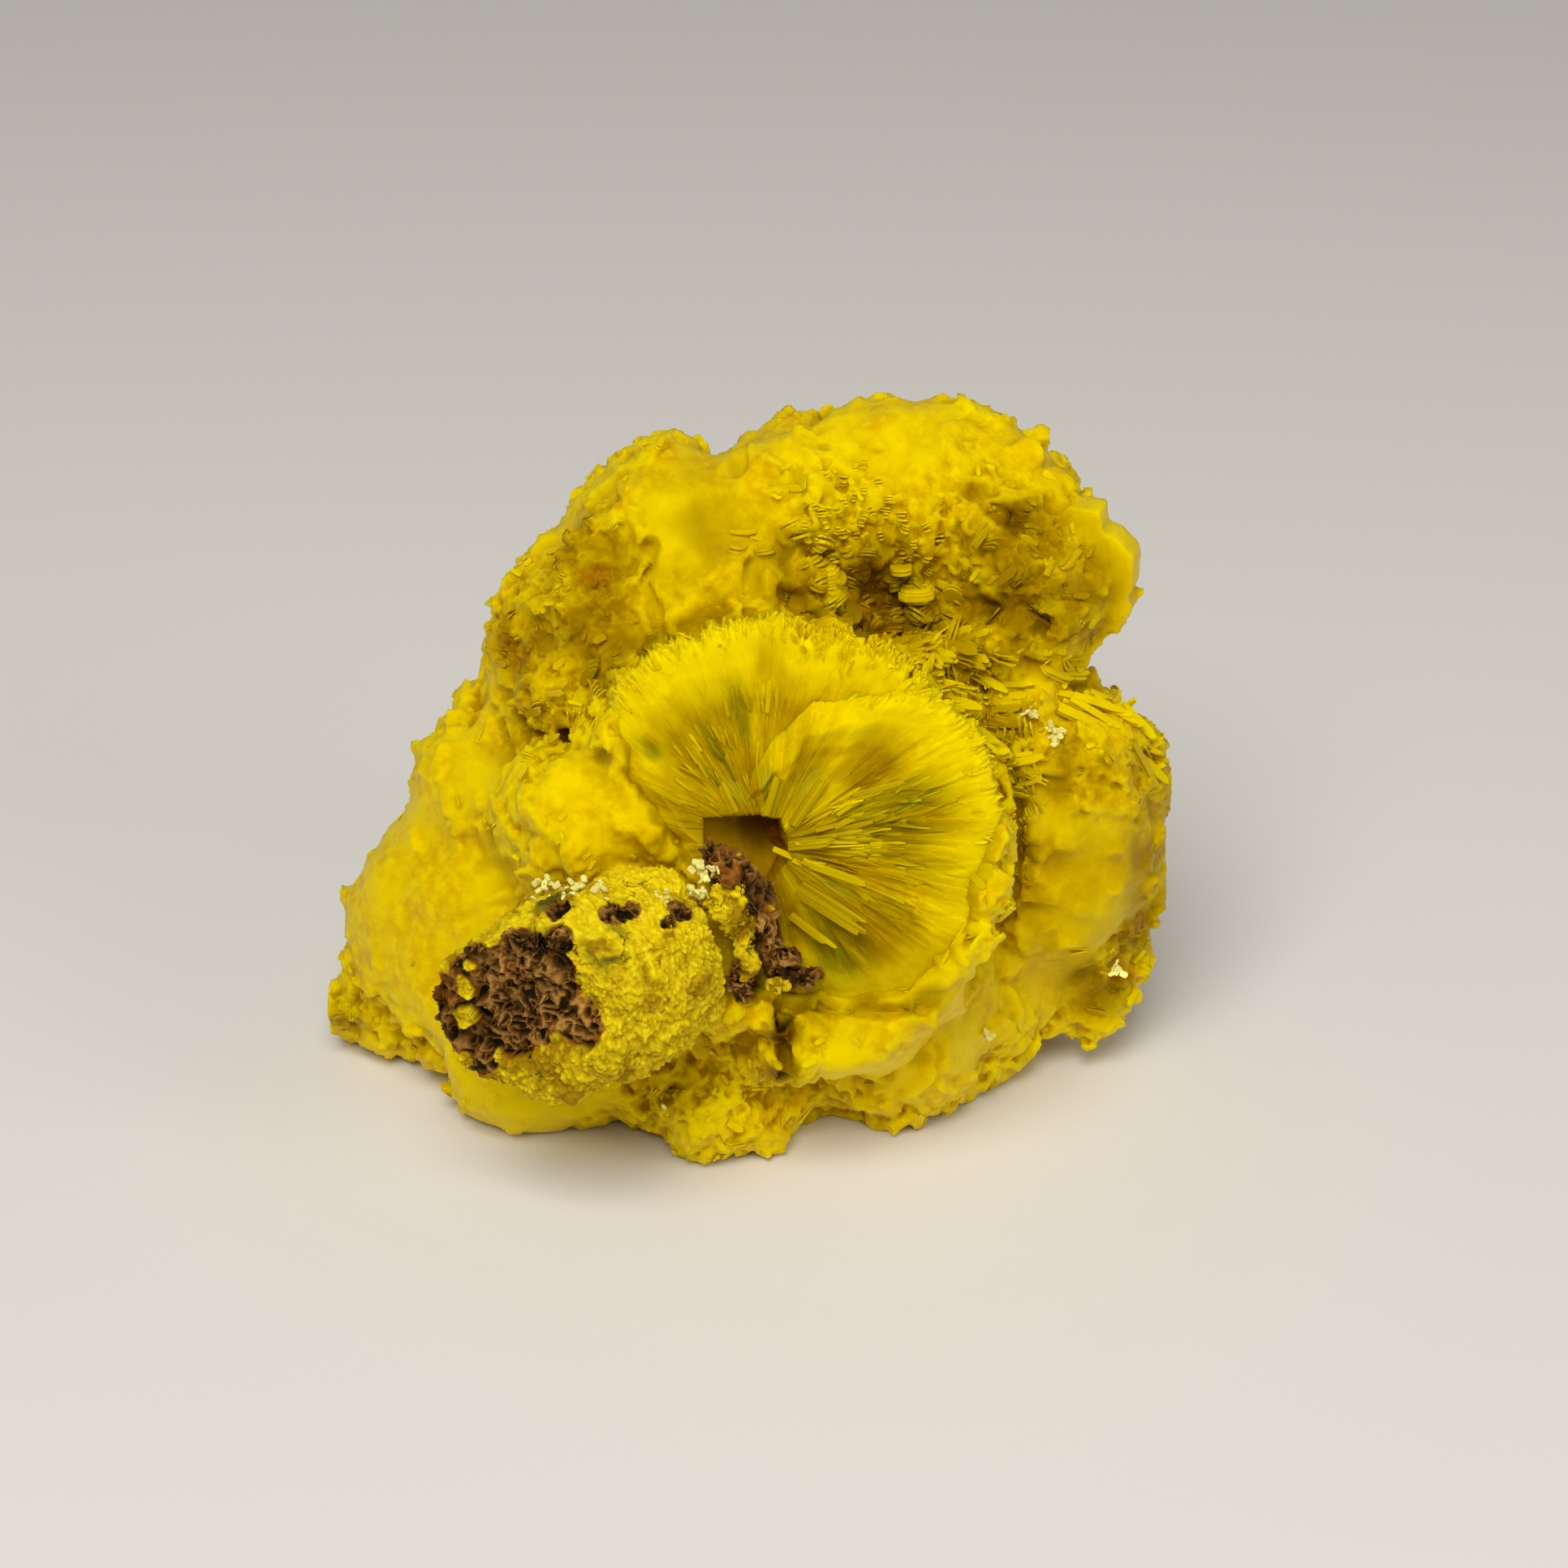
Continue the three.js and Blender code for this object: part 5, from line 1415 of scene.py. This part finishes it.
class SPECIMEN_OT_fresh_plates(bpy.types.Operator):
    """Clusters of fresh pale plates over the stub and beside the right lobe, and single tiny ones all over
    the front that mirror the light"""

    bl_idname = "specimen.fresh_plates"
    bl_label = "Fresh plates"

    def execute(self, context):
        random = np.random.default_rng(500)
        rows = []
        for x, y, z, reach, count in PALE_CLUSTERS:
            for _ in range(2 * count):
                root = np.array([x, y, z]) + random.normal(size=3) * reach * 0.5
                along = unit(random.normal(size=3) + (0, -0.4, 0.4))
                flat = unit(np.array([0.0, -0.8, 0.6]) + 0.5 * random.normal(size=3))
                size = random.uniform(0.09, 0.22)
                rows.append((root, root + size * along, flat, size * random.uniform(0.5, 0.9), 0.05, 0.0))
        placed("pale_clusters", rows, "fresh_plates", 0.3)

        def glinting(place, normal):
            facing_light = normal @ unit(np.array(TO_THE_LIGHT)) > 0.3
            return facing_light * (0.12 + 0.88 * among(place, ROUGH, 1.6))

        tries = context.scene.specimen_tablets.glint_tries
        grown("glints", 220, tries, glinting, (0.1, 0.32), (0.02, 0.035), thickness=0.02, rise=(0.0, 0.15),
              face=TO_THE_LIGHT, stray=0.7, sunk=0.35, tint=0.0)
        return {"FINISHED"}


# ------------------------------------------------------------------ matrix


ROCK_PATCHES = np.array([  # where the stub's rock shows
    (-5.6, -7.8, 6.6, 1.9), (-4.9, -8.1, 7.3, 1.3), (-6.9, -7.2, 6.1, 1.2), (-3.9, -8.3, 6.3, 0.9),
    (-5.2, -7.8, 8.0, 0.9), (-4.4, -7.9, 8.4, 0.6), (-6.7, -7.0, 4.9, 1.2), (-6.3, -7.4, 7.4, 0.8),
    (-7.4, -7.0, 5.8, 1.0), (-7.2, -7.0, 4.6, 1.0), (-5.6, -7.7, 5.4, 0.8),
    (-3.0, -7.4, 8.8, 0.5), (-2.6, -7.2, 8.8, 0.4), (-1.4, -6.7, 8.6, 0.45), (-1.7, -7.2, 8.4, 0.4),
    (-4.3, -7.1, 8.7, 0.5),
])
CRUST_ISLANDS = np.array([  # crust left on it
    (-6.7, -7.3, 6.6, 0.5), (-6.7, -7.3, 5.8, 0.5), (-6.8, -7.2, 4.6, 0.35), (-6.1, -7.6, 4.8, 0.4),
    (-6.6, -7.4, 7.3, 0.3),
])
OLIVE_PATCHES = np.array([(-4.6, -6.6, 8.8, 0.6), (-3.1, -8.2, 8.4, 0.75)])
# Crumbs of matrix between the stub and the fan: centre, half sizes, and whether crust covers it.
MATRIX_CRUMBS = [
    ((-0.02, -5.6, 7.75), (0.46, 0.36, 0.75), True), ((0.05, -5.6, 6.0), (0.34, 0.4, 0.5), False),
    ((0.16, -5.75, 7.0), (0.3, 0.3, 0.8), True), ((-0.5, -5.75, 8.25), (0.4, 0.32, 0.4), True),
    ((1.25, -5.55, 6.35), (0.5, 0.5, 0.6), False), ((1.05, -5.95, 6.0), (0.26, 0.2, 0.12), True),
    ((1.75, -5.45, 6.0), (0.35, 0.35, 0.3), False),
]


def tube_frame(axis):
    """Two directions across an axis: sideways and upwards."""
    side = unit(np.cross([0.0, 0.0, 1.0], axis))
    return side, np.cross(axis, side)


def rock_relief(points, crusted):
    """Height of crusted rock, and its painted shade and painted highlight: shade in the pits, a highlight on
    the tops of the ribs and shade in the crust's hollows. Rock: a net of thin curled ribs, where noise
    crosses zero, a quarter of a millimetre apart with finer ones between, and deep pits inside the net.
    Crust: clumps, grains and specks of powder, each round its own scattered centre, in level scallops low
    down."""
    bent = stirred(points, 0.12, 0.3, 55)
    broad_rib = np.clip(1 - 2.8 * np.abs(noise(bent, 0.27, 51)), 0, 1)
    small_rib = np.clip(1 - 2.4 * np.abs(noise(bent, 0.14, 57)), 0, 1)
    rib = np.maximum(broad_rib, 0.85 * small_rib)
    deep = smoothstep(0.15, -0.35, layered(points, 0.7, 59))
    rock_height = 0.12 * broad_rib + 0.07 * small_rib - 0.2 * deep + 0.12 * layered(points, 0.9, 58) - 0.12
    # Painted shade in the pits between the ribs and in the deep patches.
    pit_shade = np.clip(smoothstep(0.35, 0.0, rib) + 0.6 * deep * smoothstep(0.9, 0.4, rib), 0, 1)
    patchy = smoothstep(-0.3, 0.3, noise(points, 0.5, 60))
    # Painted highlight on the tops of the ribs, weaker in the deep patches.
    top = smoothstep(0.45, 0.95, rib) * (1 - 0.7 * deep) * (0.5 + 0.5 * patchy)
    swirled = stirred(points, 0.1, 0.3, 65)
    clump = grains(swirled, 0.34, 61, 0.95)
    grain = grains(swirled, 0.17, 62, 0.9)
    speck = grains(points, 0.1, 63, 0.9)
    coarse = smoothstep(-0.3, 0.4, noise(points, 1.1, 77))
    level = points * (1.0, 1.0, 4.0)
    scallop = (1 - np.abs(noise(level, 0.9, 73))) * smoothstep(6.6, 5.4, points[:, 2])
    crust_height = (
        (0.05 + 0.09 * coarse) * clump + 0.09 * grain + 0.05 * speck + 0.2 * layered(points, 0.8, 71)
        + 0.1 * scallop - 0.12
    )
    # Painted shade in the crust: darker between its clumps, grains and specks and a little low down, lighter
    # high up, with darker patches at random.
    hollow_shade = 1.0 - (clump * 0.35 + grain * 0.6 + speck * 0.5) + 0.08 * smoothstep(6.8, 5.2, points[:, 2])
    hollow_shade = hollow_shade + 0.8 * smoothstep(0.05, 0.5, layered(points, 0.7, 75))
    hollow_shade = hollow_shade - 0.3 * smoothstep(7.6, 8.8, points[:, 2])
    height = rock_height + (crust_height - rock_height) * crusted
    return height, pit_shade, top, np.clip(hollow_shade, 0, 1)


def rock_piece(name, points, loops, sizes, bare):
    """A piece of matrix: its smooth form moved along its own normals by the relief, with crust wherever bare
    is under a half and rust along the border between."""
    normals = skin_normals(points, as_triangles(loops, sizes))
    crusted = smoothstep(0.56, 0.46, bare)
    height, pit_shade, top, hollow_shade = rock_relief(points, crusted)
    olive = among(points, OLIVE_PATCHES, 1.8) * smoothstep(-0.3, 0.2, noise(points, 0.3, 88))
    rusty = smoothstep(0.85, 0.6, bare) * (0.4 + 0.6 * smoothstep(-0.2, 0.3, noise(points, 0.4, 87)))
    rusty = np.maximum(rusty, 0.6 * smoothstep(0.25, 0.5, layered(points, 0.9, 89)))
    # The pits carry painted shade, the rib tops a painted highlight and the crust's hollows painted shade.
    marks = {"crust": crusted, "grain": pit_shade, "top": top, "hollow_shade": hollow_shade, "rusty": rusty, "olive": olive}
    points = inside_box(points + normals * height[:, None])
    piece = mesh_object(name, points, loops, sizes, marks, material_named("limonite_and_crust"))
    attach(piece, "root")
    return piece


class SPECIMEN_OT_matrix_stub(bpy.types.Operator):
    """The stub: rings round a tilted axis, over a rounded edge, then across the oblique broken face.
    Rock shows on the face and in a few patches, and crust covers the rest"""

    bl_idname = "specimen.matrix_stub"
    bl_label = "Matrix stub"

    def execute(self, context):
        run = np.concatenate([  # 0 to 1 along the wall, to 2 round the edge, to 3 across the face
            np.linspace(0, 0.06, 14, endpoint=False), np.linspace(0.06, 1, 146, endpoint=False),
            np.linspace(1, 2, 50, endpoint=False), np.linspace(2, 2.98, 58),
        ])[:, None]
        rows, columns = len(run), 340
        axis = STUB_TO - STUB_FROM
        length = np.linalg.norm(axis)
        axis = axis / length
        side, top = tube_frame(axis)
        angle = np.linspace(0, 2 * np.pi, columns, endpoint=False)[None]
        share = np.minimum(run, 1)
        radius = np.interp(share[:, 0], np.linspace(0, 1, len(STUB_RADII)), STUB_RADII)[:, None]
        turn = np.clip(run - 1, 0, 1) * np.pi / 2
        inset = STUB_ROUNDING * (1 - np.cos(turn)) + (radius - STUB_ROUNDING) * np.clip(run - 2, 0, 1)
        seat = np.sqrt(np.clip(1 - (1 - np.clip(run / 0.08, 0, 1)) ** 2, 0.02, 1))
        radius = (radius - inset) * seat * np.ones_like(angle)
        across, rise = radius * np.cos(angle), radius * np.sin(angle)
        rise = np.where(rise < 0, STUB_SAG * rise, rise)
        full = length + STUB_CUT[0] * across + STUB_CUT[1] * rise
        along = (full - STUB_ROUNDING) * share + STUB_ROUNDING * np.sin(turn)
        points = (
            STUB_FROM + across[..., None] * side + rise[..., None] * top + along[..., None] * axis
        ).reshape(-1, 3)
        points = np.concatenate([points, [STUB_FROM - 0.3 * axis, STUB_FROM + length * axis]])
        loops, sizes = grid_faces(rows, columns)
        normals = skin_normals(points, as_triangles(loops, sizes))
        humps = 0.3 * layered(points, 1.3, 85) + 0.2 * facets(points, 0.8, 83, 0.4) - 0.08
        points = points + normals * humps[:, None]
        bare = among(points, ROCK_PATCHES, 2.4) - 1.3 * nearness(points, CRUST_ISLANDS)
        bare = bare + 0.35 * layered(points, 0.6, 81) + 0.2 * layered(points, 0.2, 82)
        piece = rock_piece("matrix_rock", points, loops, sizes, bare)
        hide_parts("matrix_stub")
        return {"FINISHED"}


class SPECIMEN_OT_matrix_seam(bpy.types.Operator):
    """The seam: an uneven oval carried down a bent line, nearly all of porous rock"""

    bl_idname = "specimen.matrix_seam"
    bl_label = "Matrix seam"

    def execute(self, context):
        rows, columns = 140, 120
        run = np.linspace(0, 1, rows)
        knots = np.linspace(0, 1, len(SEAM_LINE))
        line = np.stack([np.interp(run, knots, SEAM_LINE[:, k]) for k in range(3)], axis=1)
        reach = 12  # how many points either side the bends are smoothed over
        kernel = np.hanning(2 * reach + 1) / np.hanning(2 * reach + 1).sum()
        padded = np.pad(line, ((reach, reach), (0, 0)), mode="reflect", reflect_type="odd")
        line = np.stack([np.convolve(padded[:, k], kernel, mode="valid") for k in range(3)], axis=1)
        tangent = unit(np.gradient(line, axis=0))
        front = np.array([0.0, -1.0, 0.0])
        side = unit(np.cross(tangent, front))
        taper = np.sqrt(np.clip(1 - (2 * run - 1) ** 8, 0.02, 1))
        half_width = np.interp(run, knots, SEAM_HALF_WIDTHS) * taper
        half_depth = SEAM_HALF_DEPTH * SEAM_ROOM * taper
        angle = np.linspace(0, 2 * np.pi, columns, endpoint=False)
        points = (
            line[:, None]
            + side[:, None] * (half_width[:, None] * np.cos(-angle)[None])[..., None]
            + front * (half_depth[:, None] * np.sin(-angle)[None])[..., None]
        )
        ends = [line[:1] - 0.1 * tangent[:1], line[-1:] + 0.1 * tangent[-1:]]
        points = np.concatenate([points.reshape(-1, 3), *ends])
        loops, sizes = grid_faces(rows, columns)
        normals = skin_normals(points, as_triangles(loops, sizes))
        points = points + normals * (0.16 * layered(points, 0.8, 91) - 0.04)[:, None]
        bare = 0.85 - 0.5 * smoothstep(0.4, 0.7, layered(points, 0.5, 95))
        piece = rock_piece("seam_rock", points, loops, sizes, bare)
        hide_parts("matrix_seam")
        return {"FINISHED"}


class SPECIMEN_OT_matrix_crumbs(bpy.types.Operator):
    """Crumbs of rock and crust in the gap between the stub and the fan: rounded lumps, each a grid of
    latitudes and longitudes"""

    bl_idname = "specimen.matrix_crumbs"
    bl_label = "Matrix crumbs"

    def execute(self, context):
        rows, columns = 54, 76
        up = np.linspace(-0.97, 0.97, rows) * np.pi / 2
        angle = np.linspace(0, 2 * np.pi, columns, endpoint=False)
        ball = np.stack([
            np.cos(up)[:, None] * np.cos(angle), np.cos(up)[:, None] * np.sin(angle),
            np.sin(up)[:, None] * np.ones(columns),
        ], axis=-1).reshape(-1, 3)
        ball = np.concatenate([ball, [(0.0, 0.0, -1.0), (0.0, 0.0, 1.0)]])
        loops, sizes = grid_faces(rows, columns)
        points, bare = [], []
        for centre, half_sizes, crusted in MATRIX_CRUMBS:
            lump = ball * half_sizes + centre
            lump = lump + ball * (0.3 * layered(lump, 0.5, 93) + 0.6 * facets(lump, 0.4, 94, 0.5))[:, None]
            points.append(lump)
            bare.append(np.full(len(lump), 0.2 if crusted else 0.8) + 0.3 * layered(lump, 0.4, 96))
        count = len(ball)
        loops = np.concatenate([loops + count * k for k in range(len(points))])
        sizes = np.tile(sizes, len(points))
        points, bare = np.concatenate(points), np.concatenate(bare)
        rock_piece("matrix_crumbs", points, loops, sizes, bare)
        return {"FINISHED"}


# ------------------------------------------------------------------ stage


FLOOR_REACH = 0.6  # metres, as all the stage's sizes
FLOOR_DROP = 2e-5  # how far the floor is under the specimen
LAMPS_AIM = (0.001, 0.0, 0.009)
CAMERA_AIM = (1.13, 0.0, 8.6)  # millimetres


class SPECIMEN_OT_stage(bpy.types.Operator):
    """A plain pale floor, soft studio light from above and the front, and the camera"""

    bl_idname = "specimen.stage"
    bl_label = "Stage"

    def execute(self, context):
        view = context.scene.specimen_view
        scene = context.scene
        floor = bpy.data.meshes.new("floor")
        ways = ((-1, -1), (1, -1), (1, 1), (-1, 1))
        corners = [(x * FLOOR_REACH, y * FLOOR_REACH, -FLOOR_DROP) for x, y in ways]
        floor.from_pydata(corners, [], [(0, 1, 2, 3)])
        ground = bpy.data.objects.new("floor", floor)
        scene.collection.objects.link(ground)
        material, _, shader = new_material("pale_card")
        shader.inputs["Base Color"].default_value = (*context.scene.specimen_colours.floor, 1.0)
        shader.inputs["Roughness"].default_value = 0.7
        floor.materials.append(material)

        world = bpy.data.worlds.new("studio")
        world.use_nodes = True
        world.node_tree.nodes["Background"].inputs["Color"].default_value = linear("#EEEBE4")
        world.node_tree.nodes["Background"].inputs["Strength"].default_value = view.fill
        scene.world = world

        middle = Vector(LAMPS_AIM)
        for name, place, width, power in (  # metres and watts
            ("overhead", (-0.03, -0.15, 0.215), 0.16, view.key_power),
            ("side", (0.20, -0.14, 0.12), 0.10, view.side_power),
        ):
            light = bpy.data.lights.new(name, "AREA")
            light.size = width
            light.energy = power
            lamp = bpy.data.objects.new(name, light)
            lamp.location = place
            lamp.rotation_euler = (middle - Vector(place)).to_track_quat("-Z", "Y").to_euler()
            scene.collection.objects.link(lamp)

        camera = bpy.data.cameras.new("camera")
        camera.sensor_width = 36.0
        camera.lens = view.lens
        camera.clip_start, camera.clip_end = 0.005, 5.0
        seat = bpy.data.objects.new("camera", camera)
        forward = Vector((0, math.cos(view.elevation), -math.sin(view.elevation)))
        seat.location = Vector(CAMERA_AIM) * MM - forward * view.distance
        seat.rotation_euler = forward.to_track_quat("-Z", "Y").to_euler()
        scene.collection.objects.link(seat)
        scene.camera = seat
        scene.view_settings.view_transform = "Standard"
        return {"FINISHED"}


# ------------------------------------------------------------------ settings, panel and registration


def colour_setting(name, description, hex_colour):
    """A colour that a user can change."""
    return bpy.props.FloatVectorProperty(
        name=name, description=description, default=linear(hex_colour)[:3], subtype="COLOR", min=0, max=1)


class SpecimenColours(bpy.types.PropertyGroup):
    """Colours of the crystal, the matrix and the stage"""

    lemon: colour_setting("Lemon", "The crystal's main yellow", "#ECD000")
    gold: colour_setting("Gold", "The deeper yellow it drifts to", "#DAAE00")
    crust: colour_setting("Crust", "The powdery crust on the matrix", "#F6DC00")
    stone: colour_setting("Stone", "The lighter brown of the matrix", "#623A10")
    floor: colour_setting("Floor", "The card that the specimen stands on", "#EDE9E2")


class SpecimenSkin(bpy.types.PropertyGroup):
    """Sizes of the crystal mass's skin"""

    voxel: bpy.props.FloatProperty(
        name="Skin spacing", description="Width of a face of the crystal mass", default=0.00008,
        unit="LENGTH", precision=5, min=0.00005,
    )
    relax_rounds: bpy.props.IntProperty(
        name="Relax rounds", description="How often the skin is evened out before its relief", default=5,
    )
    triangles: bpy.props.IntProperty(
        name="Triangles", description="Triangles left in the crystal mass", default=194000,
    )


class SpecimenTablets(bpy.types.PropertyGroup):
    """How many tablets stand where, and how finely the fan is drawn"""

    matted_tries: bpy.props.IntProperty(
        name="Matted plates", description="Places tried for matted plates over the whole mass", default=1800,
    )
    sheaf_tries: bpy.props.IntProperty(
        name="Sheaves", description="Places tried for granular sheaves over the whole mass", default=2200,
    )
    book_tries: bpy.props.IntProperty(
        name="Books", description="Places tried for books and jumbled laths over the mass", default=8000,
    )
    fan_tries: bpy.props.IntProperty(
        name="Fan laths", description="Places tried for the laths of each tier of the fan", default=5000,
    )
    fan_columns: bpy.props.IntProperty(
        name="Fan columns", description="Points round each tier of the fan", default=940, min=60,
    )
    glint_tries: bpy.props.IntProperty(
        name="Glints", description="Places tried for the tiny plates that mirror the light", default=3000,
    )


class SpecimenView(bpy.types.PropertyGroup):
    """Camera and light"""

    lens: bpy.props.FloatProperty(
        name="Lens", description="Focal length of the camera", default=93.17, unit="CAMERA",
    )
    elevation: bpy.props.FloatProperty(
        name="Elevation", description="How far the camera looks down", default=math.radians(27),
        subtype="ANGLE",
    )
    distance: bpy.props.FloatProperty(
        name="Distance", description="From the camera to the specimen", default=0.1048, unit="LENGTH",
    )
    key_power: bpy.props.FloatProperty(
        name="Overhead power", description="Strength of the soft light above", default=0.54, unit="POWER",
    )
    side_power: bpy.props.FloatProperty(
        name="Side power", description="Strength of the small side light", default=0.1, unit="POWER",
    )
    fill: bpy.props.FloatProperty(name="Fill", description="Brightness of the surroundings", default=0.25)


OPERATORS = (
    SPECIMEN_OT_crystal_mass, SPECIMEN_OT_fan_tiers, SPECIMEN_OT_matted_plates, SPECIMEN_OT_granular_sheaves,
    SPECIMEN_OT_vug_books, SPECIMEN_OT_jumbled_laths, SPECIMEN_OT_fan_laths, SPECIMEN_OT_rim_fringe,
    SPECIMEN_OT_single_crystals, SPECIMEN_OT_matrix_stub, SPECIMEN_OT_matrix_seam, SPECIMEN_OT_matrix_crumbs,
    SPECIMEN_OT_fresh_plates, SPECIMEN_OT_stage,
)
SETTINGS = {
    "specimen_skin": SpecimenSkin, "specimen_tablets": SpecimenTablets,
    "specimen_colours": SpecimenColours, "specimen_view": SpecimenView,
}
CLASSES = (*SETTINGS.values(), *OPERATORS)


class SPECIMEN_PT_panel(bpy.types.Panel):
    """Lists the specimen's pieces and their settings"""

    bl_label = "Vanuralite specimen"
    bl_idname = "SPECIMEN_PT_panel"
    bl_space_type = "VIEW_3D"
    bl_region_type = "UI"
    bl_category = "Specimen"

    def draw(self, context):
        for group in SETTINGS:
            settings = getattr(context.scene, group)
            for key in settings.__annotations__:
                self.layout.prop(settings, key)
        for operator in OPERATORS:
            self.layout.operator(operator.bl_idname)


def register():
    """Makes the classes and the scene's settings known to Blender."""
    for kind in (*CLASSES, SPECIMEN_PT_panel):
        bpy.utils.register_class(kind)
    for name, kind in SETTINGS.items():
        setattr(bpy.types.Scene, name, bpy.props.PointerProperty(type=kind))


def unregister():
    """Takes them away again, in the opposite order."""
    for name in reversed(SETTINGS):
        delattr(bpy.types.Scene, name)
    for kind in reversed((*CLASSES, SPECIMEN_PT_panel)):
        bpy.utils.unregister_class(kind)


def main():
    """Builds every piece in order."""
    register()
    bpy.ops.specimen.crystal_mass()
    bpy.ops.specimen.fan_tiers()
    bpy.ops.specimen.matted_plates()
    bpy.ops.specimen.granular_sheaves()
    bpy.ops.specimen.vug_books()
    bpy.ops.specimen.jumbled_laths()
    bpy.ops.specimen.fan_laths()
    bpy.ops.specimen.rim_fringe()
    bpy.ops.specimen.single_crystals()
    bpy.ops.specimen.matrix_stub()
    bpy.ops.specimen.matrix_seam()
    bpy.ops.specimen.matrix_crumbs()
    bpy.ops.specimen.fresh_plates()
    bpy.ops.specimen.stage()


if __name__ == "__main__":
    main()
